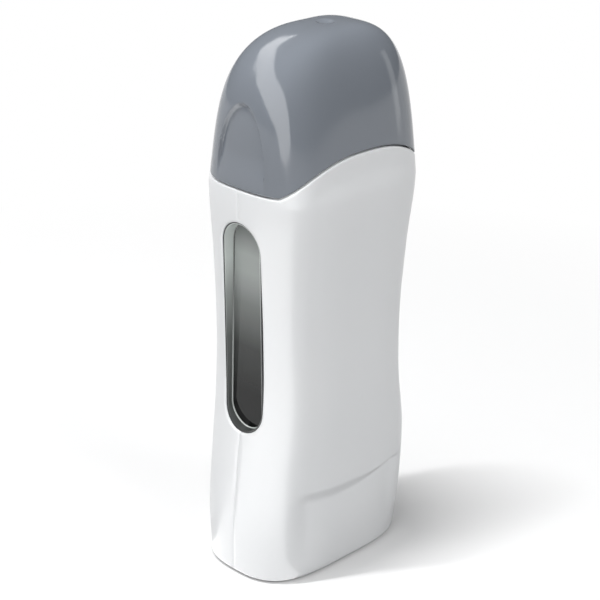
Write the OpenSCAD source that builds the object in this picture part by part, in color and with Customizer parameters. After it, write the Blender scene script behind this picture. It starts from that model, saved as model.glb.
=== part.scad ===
// Hand-held roll-on wax heater: a waisted two-part housing with a viewing window down its narrow front,
// a heated chamber for one wax cartridge, and a lift-off cap with a thumb recess on each narrow side.
// Origin: middle of the base on the surface it stands on. +Z is up, the window faces -X.

/* [Housing] */
// Height of the closed heater
total_h = 185; // [182:1:190]
// Wall of the two housing shells
shell_wall = 2.2; // [2:0.1:2.3]
// Floor of the two housing shells
floor_t = 2.2; // [2:0.1:2.6]
// How far the rubber feet stand proud of the housing
foot_stand = 0.8; // [0.5:0.1:1]
// Height of the step across each broad face, at its middle
step_z = 29.7; // [29:0.1:32]
// Half the height over which the step runs in
step_run = 2; // [1.2:0.1:2.2]
// How far the base is set back below the step
step_depth = 1.5; // [0.5:0.1:1.8]
// How far each broad face is set in below the cap line
panel_depth = 0.8; // [0.2:0.1:0.9]

/* [Cap] */
// Height of the line where the cap meets the housing, on the narrow sides
joint_z = 137.8; // [136:0.2:139]
// How much higher that line runs in the middle of the broad faces
joint_rise = 10.6; // [8:0.2:11]
// Gap between the cap's edge and the housing's rim
joint_gap = 0.5; // [0.4:0.1:0.6]
// Wall of the cap
cap_wall = 2; // [1.8:0.1:2]
// Top of the arched thumb recess
recess_top = 165.3; // [162:0.5:168]
// Half width of the thumb recess at the cap's edge
recess_half = 10.6; // [9:0.2:11]
// Depth of the thumb recess
recess_depth = 1.3; // [0.6:0.1:1.4]

/* [Window] */
// Lower end of the window
window_low = 52.4; // [52:0.2:56]
// Upper end of the window
window_high = 126.5; // [122:0.5:126.5]
// Half width of the window, and the radius of its round ends
window_r = 8.6; // [7:0.2:8.8]
// Distance of the lens seat from the housing's middle plane
lens_seat = 28.7; // [28.6:0.1:28.9]

/* [Chamber] */
// Inside width of the heated chamber
chamber_w = 51.8; // [51:0.2:52]
// Inside depth of the heated chamber
chamber_d = 30; // [29:0.2:30.2]
// Wall of the heated chamber
chamber_wall = 1; // [0.8:0.1:1]
// Lower end of the chamber tube
chamber_low = 54; // [54:0.5:55]
// Upper end of the chamber tube
chamber_high = 133.5; // [132:0.5:133.5]

/* [Power inlet] */
// Height of the inlet's middle
inlet_z = 20.5; // [20.3:0.1:20.7]
// Distance between the two contact pins
pin_pitch = 8.6; // [8.4:0.1:8.8]
// Diameter of a contact pin
pin_d = 2.4; // [2.2:0.1:2.4]

/* [Hidden] */
$fn = 16;

// Outer form: one rounded section whose width and depth follow these levels from base to cap
level_z = [foot_stand, 20, 42, 65, 88, 111, 135];
front_x = [34.4, 34.6, 33.0, 31.0, 31.6, 33.0, 34.4];
back_x = [34.0, 34.6, 34.4, 30.3, 30.0, 31.4, 33.2];
half_y = [20.9, 22.7, 23.2, 23.4, 22.7, 23.2, 24.6];
section_px = 3.77;
section_py = 2.84;
crown_z = 135;
crown_x = 0.7;
crown_taper = 0.184;
around = 40;
half_around = around / 2;

function smooth(v, low, high) =
    let (t = max(0, min(1, (v - low) / (high - low)))) t * t * (3 - 2 * t);
function signed_pow(v, e) = sign(v) * pow(abs(v), e);
function slope(vs, i) =
    i == 0 ? (vs[1] - vs[0]) / (level_z[1] - level_z[0])
    : i == len(level_z) - 1 ? 0
    : (vs[i + 1] - vs[i - 1]) / (level_z[i + 1] - level_z[i - 1]);
function span(z, i = 0) = i >= len(level_z) - 2 || z < level_z[i + 1] ? i : span(z, i + 1);

// Smooth curve through the values vs at the levels, held at its last value above them
function curve(vs, z) =
    let (
        zc = max(level_z[0], min(crown_z, z)),
        i = span(zc),
        h = level_z[i + 1] - level_z[i],
        t = (zc - level_z[i]) / h,
        t2 = t * t,
        t3 = t2 * t
    )
    (2 * t3 - 3 * t2 + 1) * vs[i] + (t3 - 2 * t2 + t) * h * slope(vs, i)
    + (3 * t2 - 2 * t3) * vs[i + 1] + (t3 - t2) * h * slope(vs, i + 1);

// Rounding-off of the cap: 1 at the crown's foot, 0 at its top
function crown(z, w, n, m) =
    let (t = max(0, min(1, (z - crown_z) / (total_h - w - crown_z))))
    pow(max(0, 1 - pow(t, n)), 1 / m);

// Half sizes of the section at height z, set in by w
function front_at(z, w) = (curve(front_x, z) - w + crown_x) * crown(z, w, 4.1, 2.4) - crown_x;
function back_at(z, w) = (curve(back_x, z) - w - crown_x) * crown(z, w, 2.9, 3.65) + crown_x;
function depth_at(z, w) =
    (curve(half_y, z) - crown_taper * max(0, z - crown_z) - w) * crown(z, w, 6.7, 4);
function mid_at(z, w) = (back_at(z, w) - front_at(z, w)) / 2;
function half_at(z, w) = (back_at(z, w) + front_at(z, w)) / 2;

// The cap line arches over the broad faces and the step sags across them
joint_half = 31.4;
step_rise = 2;
step_half = 22;
function arch(x) = joint_rise * max(0, 1 - pow(abs(x) / joint_half, 2.7));
function sag(x) = step_rise * min(1, pow(x / step_half, 2));
function arch_share(z) = smooth(z, 95, joint_z) * (1 - smooth(z, joint_z, 172));
function sag_share(z) = smooth(z, 18, 29) * (1 - smooth(z, 36, 48));
// A level line z of the section, bent to follow the cap line and the step at x
function flow(z, x) = z + arch(x) * arch_share(z) + sag(x) * sag_share(z);
// The level line that passes height z at x
function level(z, x, n = 6) =
    n == 0 ? z : let (prev = level(z, x, n - 1)) z - (flow(prev, x) - prev);

// How far the broad faces are set in on level line z: a soft shoulder under the cap, a step at the base
function face_inset(z) =
    (panel_depth * smooth(joint_z - z, 0, 7)
        + step_depth * (1 - smooth(z, step_z - step_run, step_z + step_run)))
    * max(0, min(1, (z - foot_stand) / (step_z - foot_stand)));
function face_share(x, z, w) = 1 - smooth(abs(x - mid_at(z, w)) / half_at(z, w), 0.55, 0.82);

// Depth of the thumb recess at a point of the cap: it runs in over a narrow edge under an arched outline
recess_edge = 0.16;
function recess(y, z, full) =
    let (
        u = max(0, (z - joint_z) / (recess_top - joint_z)),
        inside = 1 - pow(y / recess_half, 2) - pow(u, 2.3)
    )
    full * smooth(inside, 0, recess_edge) * smooth(z, joint_z, joint_z + 12);

// Point of the surface at angle a on height z, set in by w
function skin_point(a, z, line, w, full) =
    let (
        c = cos(a),
        s = sin(a),
        x = mid_at(z, w) + half_at(z, w) * signed_pow(c, 2 / section_px),
        y = depth_at(z, w) * signed_pow(s, 2 / section_py)
            - sign(s) * face_inset(line) * face_share(x, z, w)
    )
    [x - sign(c) * recess(y, z, full), y, z];
function side_x(a, z, w) = mid_at(z, w) + half_at(z, w) * signed_pow(cos(a), 2 / section_px);
// The same on level line z, and on height z
function on_line(a, z, w, full = 0) = skin_point(a, flow(z, side_x(a, z, w)), z, w, full);
function on_height(a, z, w) = skin_point(a, z, level(z, side_x(a, z, w)), w, 0);
// x of the narrow front face at y, z
function front_surface(y, z) =
    mid_at(z, 0) - half_at(z, 0) * pow(1 - pow(abs(y) / depth_at(z, 0), section_py), 1 / section_px);

// Faces of lofted walls: grids of n rows by m columns, the outer grid first and the inner one after it
function strip(r, c, m, base, flip) =
    let (a = base + r * m + c, b = a + 1, d = a + m, e = d + 1)
    flip ? [[a, d, b], [b, d, e]] : [[a, b, d], [b, e, d]];
function join_faces(list) = [for (group = list) each group];
function grid_faces(n, m, base, flip) =
    join_faces([for (r = [0:n - 2], c = [0:m - 2]) strip(r, c, m, base, flip)]);
function quad(a, b, c, d) = [[a, b, c], [a, c, d]];

// Half of a housing: an outer grid, an inner grid, the rims between them and a flat floor
module half_wall(outer, inner) {
    n = len(outer);
    m = len(outer[0]);
    k = n * m;
    top = (n - 1) * m;
    polyhedron(
        points = concat(join_faces(outer), join_faces(inner)),
        faces = concat(
            grid_faces(n, m, 0, true),
            grid_faces(n, m, k, false),
            join_faces([for (c = [0:m - 2]) quad(top + c, k + top + c, k + top + c + 1, top + c + 1)]),
            join_faces([for (r = [0:n - 2]) quad(r * m, k + r * m, k + r * m + m, r * m + m)]),
            join_faces([for (r = [0:n - 2])
                quad(r * m + 2 * m - 1, k + r * m + 2 * m - 1, k + r * m + m - 1, r * m + m - 1)]),
            quad(m - 1, k + m - 1, k, 0),
            [[for (c = [0:m - 1]) c], [for (c = [m - 1:-1:0]) k + c]]
        )
    );
}

// Closed ring of wall: every grid row comes back to its first point
module ring_wall(outer, inner) {
    n = len(outer);
    m = len(outer[0]);
    k = n * m;
    function at(r, c, base) = base + r * m + c % m;
    polyhedron(
        points = concat(join_faces(outer), join_faces(inner)),
        faces = concat(
            join_faces([for (r = [0:n - 2], c = [0:m - 1])
                quad(at(r, c, 0), at(r + 1, c, 0), at(r + 1, c + 1, 0), at(r, c + 1, 0))]),
            join_faces([for (r = [0:n - 2], c = [0:m - 1])
                quad(at(r, c + 1, k), at(r + 1, c + 1, k), at(r + 1, c, k), at(r, c, k))]),
            join_faces([for (c = [0:m - 1])
                quad(at(0, c, 0), at(0, c + 1, 0), at(0, c + 1, k), at(0, c, k))]),
            join_faces([for (c = [0:m - 1])
                quad(at(n - 1, c, k), at(n - 1, c + 1, k), at(n - 1, c + 1, 0), at(n - 1, c, 0))])
        )
    );
}

// Hollow closed at the top by one point outside and one inside
module dome_wall(outer, inner, outer_tip, inner_tip) {
    n = len(outer);
    m = len(outer[0]);
    k = n * m;
    tip = 2 * k;
    function at(r, c, base) = base + r * m + c % m;
    polyhedron(
        points = concat(join_faces(outer), join_faces(inner), [outer_tip, inner_tip]),
        faces = concat(
            join_faces([for (r = [0:n - 2], c = [0:m - 1])
                quad(at(r, c, 0), at(r + 1, c, 0), at(r + 1, c + 1, 0), at(r, c + 1, 0))]),
            join_faces([for (r = [0:n - 2], c = [0:m - 1])
                quad(at(r, c + 1, k), at(r + 1, c + 1, k), at(r + 1, c, k), at(r, c, k))]),
            join_faces([for (c = [0:m - 1])
                quad(at(0, c, 0), at(0, c + 1, 0), at(0, c + 1, k), at(0, c, k))]),
            [for (c = [0:m - 1]) [at(n - 1, c, 0), tip, at(n - 1, c + 1, 0)]],
            [for (c = [0:m - 1]) [at(n - 1, c + 1, k), tip + 1, at(n - 1, c, k)]]
        )
    );
}

// Shapes that repeat
// Sides of a round of radius r: few on small ones
function sides(r) = r < 1.4 ? 6 : r < 2 ? 8 : r < 3.5 ? 12 : r < 7 ? 16 : 24;
module rod(r, h) cylinder(r = r, h = h, $fn = sides(r));
module rod_x(r, x0, x1, y, z) translate([x0, y, z]) rotate([0, 90, 0]) rod(r, x1 - x0);
module rod_y(r, y0, y1, x, z) translate([x, y0, z]) rotate([-90, 0, 0]) rod(r, y1 - y0);
module rod_z(r, z0, z1, x, y) translate([x, y, z0]) rod(r, z1 - z0);
module block(low, high) translate(low) cube(high - low);

// Upright slot shape with round ends, between two planes across X
window_z0 = window_low + window_r;
window_z1 = window_high - window_r;
module slot(r, x0, x1, low = window_z0) {
    rod_x(r, x0, x1, 0, low);
    rod_x(r, x0, x1, 0, window_z1);
    block([x0, -r, low], [x1, r, window_z1]);
}

module rounded_outline(w, d, r) {
    square([w, d - 2 * r], center = true);
    square([w - 2 * r, d], center = true);
    for (sx = [-1, 1], sy = [-1, 1]) translate([sx * (w / 2 - r), sy * (d / 2 - r)]) circle(r = r);
}

// Housing shells
bottom_round = 1.6;
shell_top = joint_z - joint_gap / 2;
shell_levels = [foot_stand, foot_stand + 0.5, foot_stand + bottom_round, 17, step_z - step_run, step_z,
    step_z + step_run, 44, 60, 78, 96, 112, 121, 127, 131.5, 135, shell_top];
function edge_round(z) =
    let (t = max(0, 1 - (z - foot_stand) / bottom_round)) 0.8 * (1 - sqrt(max(0, 1 - t * t)));
inner_start = foot_stand + floor_t;
floor_blend = 13;
function inner_level(z) =
    z > floor_blend ? z
    : inner_start + (z - foot_stand) * (floor_blend - inner_start) / (floor_blend - foot_stand);
function shell_row(z, w, round_by) =
    [for (i = [0:half_around]) on_line(180 + i * 360 / around, z, w + round_by)];
shell_outer = [for (z = shell_levels) shell_row(z, 0, edge_round(z))];
shell_inner = [for (z = shell_levels) shell_row(inner_level(z), shell_wall, 0)];

// Raised frame round the window: it runs in from the outer wall to the flat lens seat
frame_wall = 1.8;
frame_arc = 7;
frame_run = 3;
function frame_yz(i, r) =
    i <= frame_arc ? [-r * sin(90 * i / frame_arc), window_z1 + r * cos(90 * i / frame_arc)]
    : i < frame_arc + frame_run
        ? [-r, window_z1 + (window_z0 - window_z1) * (i - frame_arc) / frame_run]
    : let (a = 90 + 90 * (i - frame_arc - frame_run) / frame_arc) [-r * sin(a), window_z0 + r * cos(a)];
frame_count = 2 * frame_arc + frame_run;
function frame_ring(r, sunk) =
    [for (i = [0:frame_count]) let (p = frame_yz(i, r))
        [sunk ? front_surface(p[0], p[1]) + 1.1 : -lens_seat, p[0], p[1]]];
module window_frame() {
    m = frame_count + 1;
    loops = [frame_ring(window_r + frame_wall, false), frame_ring(window_r + frame_wall, true),
        frame_ring(window_r - 0.6, true), frame_ring(window_r - 0.6, false)];
    polyhedron(
        points = join_faces(loops),
        faces = concat(
            join_faces([for (k = [0:3], i = [0:m - 2])
                let (a = k * m + i, b = (k + 1) % 4 * m + i) quad(a, a + 1, b + 1, b)]),
            quad(0, m, 2 * m, 3 * m),
            quad(4 * m - 1, 3 * m - 1, 2 * m - 1, m - 1)
        )
    );
}

// Places of the four housing screws, as x, z and how far the boss reaches out to the wall
screw_spots = [[-20, 8, 18.7], [20, 8, 18.7], [-20, 38, 19.7], [20, 38, 19.7]];
screw_r = 1.5;
screw_head_r = 2.9;
screw_seat = 14;
inlet_flange_x = 25;
inlet_flange_t = 2;
inlet_half_y = 9.8;
inlet_half_z = 6.3;
lamp_z = 46;
lamp_r = 2.4;
lens_r = 3;
lens_flange_x = 29.7;
foot_r = 4;
foot_sunk = 1.2;
foot_spots = [[-23, 11], [23, 11], [-23, -11], [23, -11]];
collar_low = 131;

// Inner features of the shells, reaching from the wall to the piece that each one holds
rib_t = 2;
slack = 0.1;
shelf_x = [-22, 11];
shelf_w = 10;
shelf_t = 2.5;
shelf_edge = 14.5;
collar_rib_x = [-13, 11];
collar_rib_low = 120;
collar_rib_edge = 18.8;
flange_rib_low = 13;
flange_rib_high = 28;
flange_rib_edge = 10;
carrier_x = 22;
carrier_half = 3;

// Everything that both shells share, drawn on the near side (-Y)
module shell_form() {
    half_wall(shell_outer, shell_inner);
    window_frame();
    // shelf under the chamber cradle
    for (x = shelf_x) block([x, -20.4, cradle_low - shelf_t], [x + shelf_w, -shelf_edge, cradle_low]);
    // ribs under the collar's skirt
    for (x = collar_rib_x) block([x, -21.9, collar_rib_low], [x + rib_t, -collar_rib_edge, collar_low]);
    // two ribs with the inlet's flange between them
    flange_back = inlet_flange_x - slack;
    flange_front = inlet_flange_x + inlet_flange_t + slack;
    block([flange_back - rib_t, -18.9, flange_rib_low], [flange_back, -flange_rib_edge, flange_rib_high]);
    block([flange_front, -16.5, flange_rib_low], [flange_front + rib_t, -flange_rib_edge, flange_rib_high]);
    // carrier of the indicator lamp
    block([carrier_x, -19.6, lamp_z - carrier_half], [carrier_x + rib_t, -slack, lamp_z + carrier_half]);
    // pad behind the indicator lens
    intersection() {
        rod_x(5, lens_flange_x + 1, 32.3, 0, lamp_z);
        block([30, -6, lamp_z - 6], [34, 0, lamp_z + 6]);
    }
}

// Band that follows the form between two level lines and two insets
function band_rows(low, high, w) =
    [for (z = [low, high]) [for (i = [0:around - 1]) on_line(i * 360 / around, z, w)]];
module form_band(low, high, w_out, w_in) ring_wall(band_rows(low, high, w_out), band_rows(low, high, w_in));

// Tongues of the near shell that reach behind the far shell's wall across the seam: side, low and high line
tongue_t = 1.2;
tongue_half = 3.5;
tongue_gap = 0.25;
tongue_spots = [[-1, 23, 28], [1, 32, 37], [1, 113, 119]];
module seam_tongues() for (s = tongue_spots) {
    side = s[0] < 0 ? [-40, -20] : [20, 40];
    inner = shell_wall + tongue_gap + tongue_t;
    intersection() {
        form_band(s[1], s[2], shell_wall + tongue_gap, inner);
        block([side[0], -tongue_half, 0], [side[1], tongue_half, total_h]);
    }
    // its root runs into the near wall
    intersection() {
        form_band(s[1], s[2], shell_wall - 0.6, inner);
        block([side[0], -tongue_half, 0], [side[1], -slack, total_h]);
    }
}

module shell_cuts() {
    slot(window_r, -45, -lens_seat + 0.5);
    slot(window_r + 2.9, -lens_seat, -20);
    // inlet opening and indicator hole in the narrow back
    block([28.5, -inlet_half_y - 0.2, inlet_z - inlet_half_z - 0.2],
        [40, inlet_half_y + 0.2, inlet_z + inlet_half_z + 0.2]);
    rod_x(lens_r + 0.05, 28, 40, 0, lamp_z);
    rod_x(lamp_r + 0.05, 20, 26, 0, lamp_z);
    for (p = foot_spots) rod_z(foot_r + 0.1, -1, foot_stand + foot_sunk, p[0], p[1]);
}

module near_shell() color([0.93, 0.93, 0.92]) difference() {
    union() {
        difference() {
            shell_form();
            shell_cuts();
        }
        lens_keepers();
        seam_tongues();
        for (s = screw_spots) rod_y(3.2, -s[2], 0, s[0], s[1]);
    }
    for (s = screw_spots) rod_y(screw_r, -10, 1, s[0], s[1]);
}

module far_shell() color([0.93, 0.93, 0.92]) difference() {
    union() {
        mirror([0, 1, 0]) {
            difference() {
                shell_form();
                shell_cuts();
            }
            lens_keepers();
        }
        for (s = screw_spots) rod_y(4.5, 0, s[2], s[0], s[1]);
        for (x = block_screw_x) rod_y(2.6, block_back, 20.2, x, block_mid_z);
    }
    for (s = screw_spots) {
        rod_y(screw_r + 0.1, -1, 20, s[0], s[1]);
        rod_y(screw_head_r + 0.2, screw_seat, 30, s[0], s[1]);
    }
    for (x = block_screw_x) rod_y(1.1, block_back - 1, block_back + 2.2, x, block_mid_z);
}

// Cap
cap_low = joint_z + joint_gap / 2;
cap_levels = concat([cap_low, 143.5, 150, 156, 162, 167, 171.5, 175.3],
    [for (left = [6.6, 4.2, 2.2, 0.8]) total_h - left]);
function cap_inner_level(z) =
    z < 165 ? z : 165 + (z - 165) * (total_h - cap_wall - 165) / (total_h - 165);
function cap_row(z, w, full) = [for (i = [0:around - 1]) on_line(i * 360 / around, z, w, full)];
cap_outer = [for (z = cap_levels) cap_row(z, 0, recess_depth)];
cap_inner = [for (z = cap_levels)
    cap_row(cap_inner_level(z), cap_wall, recess_depth * smooth(z, 145, 154))];
dimple_x = 2.5;
dimple_r = 6;
dimple_depth = 0.8;
collar_stand = 5;
collar_wall = 1.6;
collar_inset = 2.4;

module cap() color([0.46, 0.49, 0.53]) difference() {
    union() {
        dome_wall(cap_outer, cap_inner, [crown_x, 0, total_h], [crown_x, 0, total_h - cap_wall]);
        // stops that rest on the collar's rim, from the wall to the end that faces the middle
        for (stop = [[-32.7, -30.8, -30.8], [29.6, 31.35, 29.6]])
            block([stop[0], -1, flow(joint_z + collar_stand, stop[2]) + 0.15], [stop[1], 1, 152]);
    }
    translate([dimple_x, 0, total_h + dimple_r - dimple_depth]) sphere(r = dimple_r);
}

// Collar: the neck that the cap slides over, with a deck that holds the chamber's mouth
deck_low = chamber_high + 0.5;
deck_t = 2;
collar_rows = 3;
function collar_row(r, w) =
    [for (i = [0:around - 1]) let (
        a = i * 360 / around,
        top = flow(joint_z + collar_stand, side_x(a, joint_z, w)),
        z = collar_low + (top - collar_low) * r / (collar_rows - 1)
    ) on_height(a, z, w)];
function deck_row(z) = [for (i = [0:around - 1]) on_height(i * 360 / around, z, collar_inset + 0.8)];

// Low ribs on the neck that centre the cap: x or y of each rib on the broad and narrow sides
grip_h = 0.3;
grip_w = 1.2;
grip_broad_x = [-14, 14];
grip_narrow_y = [-11.5, 11.5];
module collar_grips() intersection() {
    form_band(joint_z + 0.8, joint_z + collar_stand - 0.8, collar_inset - grip_h, collar_inset + 0.6);
    union() {
        for (x = grip_broad_x) block([x - grip_w / 2, -40, 130], [x + grip_w / 2, 40, 160]);
        for (y = grip_narrow_y) block([-40, y - grip_w / 2, 130], [40, y + grip_w / 2, 160]);
    }
}

module collar() color([0.86, 0.87, 0.87]) difference() {
    union() {
        collar_grips();
        ring_wall([for (r = [0:collar_rows - 1]) collar_row(r, collar_inset)],
            [for (r = [0:collar_rows - 1]) collar_row(r, collar_inset + collar_wall)]);
        polyhedron(
            points = concat(deck_row(deck_low), deck_row(deck_low + deck_t)),
            faces = concat(
                [[for (i = [0:around - 1]) i]],
                [[for (i = [around - 1:-1:0]) around + i]],
                join_faces([for (i = [0:around - 1])
                    let (j = (i + 1) % around) quad(i, around + i, around + j, j)])
            )
        );
    }
    translate([0, 0, deck_low - 1])
        linear_extrude(deck_t + 2) rounded_outline(chamber_w, chamber_d, chamber_round);
}

// Window: the lens lies in a pocket of both shells, on a thin seal, behind small keepers
lens_t = 1.2;
lens_lip = 2.8;
lens_raise = 0.8;
seal_t = 0.4;
lens_front = -lens_seat + seal_t;
lens_back = lens_front + lens_t;
module window_lens() color([0.75, 0.82, 0.82, 0.5]) {
    slot(window_r + lens_lip, lens_front, lens_back);
    slot(window_r - 0.15, -lens_seat - lens_raise, lens_front);
}

module window_seal() color([0.25, 0.25, 0.26]) difference() {
    slot(window_r + lens_lip, -lens_seat, lens_front);
    slot(window_r, -lens_seat - 1, -20);
}

module lens_keepers() for (z = [66, 106]) {
    block([lens_back, -12.8, z], [lens_back + 1, -10.2, z + 6]);
    block([front_surface(-12.8, z) + 1, -12.8, z], [lens_back + 1, -window_r - lens_lip - 0.2, z + 6]);
}

// Heated chamber: an extruded tube with a channel on each broad side for a flat heater
chamber_round = 10;
channel_half = 14.8;
channel_depth = 2;
lip_t = 0.6;
lip_w = 1.5;
rail_w = 1.5;
rail_high = 129.5;
chamber_face = chamber_d / 2 + chamber_wall;
chamber_slot_r = 7;

module chamber_outline()
    rounded_outline(chamber_w + 2 * chamber_wall, chamber_d + 2 * chamber_wall, chamber_round + chamber_wall);

module tube_outline() difference() {
    union() {
        chamber_outline();
        for (sy = [-1, 1]) translate([0, sy * (chamber_face + (channel_depth + lip_t) / 2)])
            square([2 * (channel_half + rail_w), channel_depth + lip_t + 0.02], center = true);
    }
    rounded_outline(chamber_w, chamber_d, chamber_round);
    for (sy = [-1, 1]) {
        translate([0, sy * (chamber_face + channel_depth / 2)])
            square([2 * channel_half, channel_depth], center = true);
        translate([0, sy * (chamber_face + channel_depth)])
            square([2 * (channel_half - lip_w), 4 * lip_t], center = true);
    }
}

module chamber_tube() color([0.72, 0.73, 0.74]) difference() {
    translate([0, 0, chamber_low]) linear_extrude(chamber_high - chamber_low) tube_outline();
    slot(chamber_slot_r, -chamber_w / 2 - 3, -chamber_w / 2 + 6, window_z0 + 3);
    // the rails stop short of the collar
    for (sy = [-1, 1]) translate([-20, sy * (chamber_face + 2) - 2, rail_high]) cube([40, 4, 10]);
}

module mouth_seal() color([0.75, 0.3, 0.22])
    translate([0, 0, chamber_high]) linear_extrude(deck_low - chamber_high) difference() {
        chamber_outline();
        rounded_outline(chamber_w, chamber_d, chamber_round);
    }

module chamber_floor() color([0.68, 0.69, 0.70]) translate([0, 0, chamber_low]) linear_extrude(1.5)
    rounded_outline(chamber_w - 0.1, chamber_d - 0.1, chamber_round - 0.05);

cradle_t = 2.5;
cradle_low = chamber_low - cradle_t;
module chamber_cradle() color([0.2, 0.2, 0.21]) difference() {
    union() {
        difference() {
            translate([0, 0, cradle_low]) linear_extrude(cradle_t)
                rounded_outline(chamber_w + 2 * chamber_wall, 37, 9);
            block([-17, -7, cradle_low - 1], [17, 7, chamber_low + 1]);
        }
        // keys that enter the tube's channels
        for (x = [-14, 8], sy = [-1, 1])
            translate([x, sy * (chamber_face + 0.95) - 0.9, chamber_low - 0.5]) cube([6, 1.8, 3]);
        // saddle under the fuse
        block([-4, -7.5, 46.6], [4, 7.5, 54 - 2 * sleeve_r]);
        for (y = [-7.5, 6]) block([-4, y, 46.6], [4, y + 1.5, cradle_low + 1]);
    }
    // notches for the heaters' leads
    for (x = [-6, 6], sy = [-1, 1]) translate([x - 1.2, sy * 17.5 - 2, 45]) cube([2.4, 4, 12]);
}

// Flat heaters: insulator, heater and spring sheet lie in each channel, on the near side (-Y) as drawn
insulator_t = 0.3;
heater_t = 1.3;
heater_half = 14.6;
lead_x = 6;
module insulator_form()
    block([-heater_half, -chamber_face - insulator_t, 60], [heater_half, -chamber_face, 126]);
module heater_form() {
    y = -chamber_face - insulator_t;
    block([-heater_half + 0.4, y - heater_t, 62], [heater_half - 0.4, y, 122]);
    for (x = [-lead_x, lead_x]) block([x - 1.6, y - heater_t, 58], [x + 1.6, y, 63]);
}
module spring_form() difference() {
    y = -chamber_face - insulator_t - heater_t;
    block([-heater_half, -chamber_face - channel_depth, 60], [heater_half, y, 124]);
    for (z = [68:16:100], x = [-6.5, 6.5]) block([x - 4, y - 3, z], [x + 4, y + 1, z + 11]);
}
module near_insulator() color([0.80, 0.72, 0.45]) insulator_form();
module far_insulator() color([0.80, 0.72, 0.45]) mirror([0, 1, 0]) insulator_form();
module near_heater() color([0.35, 0.36, 0.38]) heater_form();
module far_heater() color([0.35, 0.36, 0.38]) mirror([0, 1, 0]) heater_form();
module near_spring() color([0.62, 0.63, 0.64]) spring_form();
module far_spring() color([0.62, 0.63, 0.64]) mirror([0, 1, 0]) spring_form();

// Thermal fuse under the chamber floor
fuse_r = 2;
sleeve_r = 2.6;
fuse_z = chamber_low - sleeve_r;
module thermal_fuse() color([0.78, 0.76, 0.70]) {
    rod_x(fuse_r, -5.5, 5.5, 0, fuse_z);
    rod_x(0.4, -12, 12, 0, fuse_z);
}
module fuse_sleeve() color([0.88, 0.86, 0.80]) difference() {
    rod_x(sleeve_r, -8, 8, 0, fuse_z);
    rod_x(fuse_r + 0.02, -9, 9, 0, fuse_z);
}

// Terminal block with three ways
way_x = [-12, -4, 4];
way_r = 2.4;
block_mid_z = 23;
block_half_z = 6;
block_back = 17.5;
block_front = 7.5;
way_y = (block_back + block_front) / 2;
block_screw_x = [-8, 0];
module terminal_block() color([0.90, 0.90, 0.86]) difference() {
    block([-16, block_front, block_mid_z - block_half_z], [8, block_back, block_mid_z + block_half_z]);
    for (x = way_x) {
        rod_z(way_r, 0, 40, x, way_y);
        for (dz = [-3, 3]) rod_y(1.9, block_front - 1, way_y, x, block_mid_z + dz);
    }
    for (x = block_screw_x) {
        rod_y(1.3, 0, 20, x, block_mid_z);
        block([x - 0.6, block_front - 1, 10], [x + 0.6, block_front + 2, 40]);
    }
}
module terminal_tubes() color([0.78, 0.62, 0.30]) for (x = way_x) difference() {
    rod_z(way_r - 0.05, block_mid_z - block_half_z, block_mid_z + block_half_z, x, way_y);
    rod_z(1.9, 0, 40, x, way_y);
    for (dz = [-3, 3]) rod_y(1.25, block_front, way_y, x, block_mid_z + dz);
}
module terminal_screws() color([0.70, 0.70, 0.68]) for (x = way_x, dz = [-3, 3]) {
    rod_y(1.2, 9.5, way_y - 1.6, x, block_mid_z + dz);
    rod_y(1.8, 8, 9.5, x, block_mid_z + dz);
}
module block_screws() color([0.70, 0.70, 0.68]) for (x = block_screw_x) {
    rod_y(1.05, block_front, block_back + 2, x, block_mid_z);
    rod_y(2.2, block_front - 1.5, block_front, x, block_mid_z);
}

// Power inlet
inlet_face = 33.2;
socket_deep = 12.5;
socket_half_y = 8.3;
socket_half_z = 4.6;
socket_floor = inlet_face - socket_deep;
pin_root_r = pin_d / 2 + 0.25;
module inlet_outline(hy, hz, x0, x1) {
    r = hz;
    for (y = [-hy + r, hy - r]) rod_x(r, x0, x1, y, inlet_z);
    block([x0, -hy + r, inlet_z - hz], [x1, hy - r, inlet_z + hz]);
}
module power_inlet() color([0.16, 0.16, 0.17]) difference() {
    union() {
        block([14, -inlet_half_y, inlet_z - inlet_half_z],
            [inlet_face, inlet_half_y, inlet_z + inlet_half_z]);
        block([inlet_flange_x, -11.5, inlet_z - 7.4],
            [inlet_flange_x + inlet_flange_t, 11.5, inlet_z + 7.4]);
    }
    inlet_outline(socket_half_y, socket_half_z, socket_floor, inlet_face + 1);
    for (sy = [-1, 1]) rod_x(pin_root_r, 10, 40, sy * pin_pitch / 2, inlet_z);
}
module inlet_pins() color([0.80, 0.80, 0.78]) for (sy = [-1, 1]) {
    rod_x(pin_root_r, 13, socket_floor, sy * pin_pitch / 2, inlet_z);
    // the shaft keeps many sides, since a connector slides on it
    translate([socket_floor, sy * pin_pitch / 2, inlet_z]) rotate([0, 90, 0])
        cylinder(r = pin_d / 2, h = inlet_face - 2.2 - socket_floor, $fn = 24);
    block([7, sy * pin_pitch / 2 - 0.4, inlet_z - 2.4], [13, sy * pin_pitch / 2 + 0.4, inlet_z + 2.4]);
}

// Indicator
module indicator_lamp() color([0.85, 0.50, 0.35]) {
    rod_x(lamp_r, 19, 28.5, 0, lamp_z);
    rod_x(1.2, 28.5, lens_flange_x, 0, lamp_z);
}
module indicator_lens() color([0.80, 0.12, 0.10]) {
    rod_x(lens_r, lens_flange_x, 34.1, 0, lamp_z);
    rod_x(lens_r + 1.2, lens_flange_x, lens_flange_x + 1, 0, lamp_z);
    translate([34.1, 0, lamp_z]) rotate([0, 90, 0]) scale([1, 1, 0.25]) intersection() {
        sphere(r = lens_r, $fn = 12);
        cylinder(r = lens_r + 1, h = lens_r + 1);
    }
}

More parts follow.
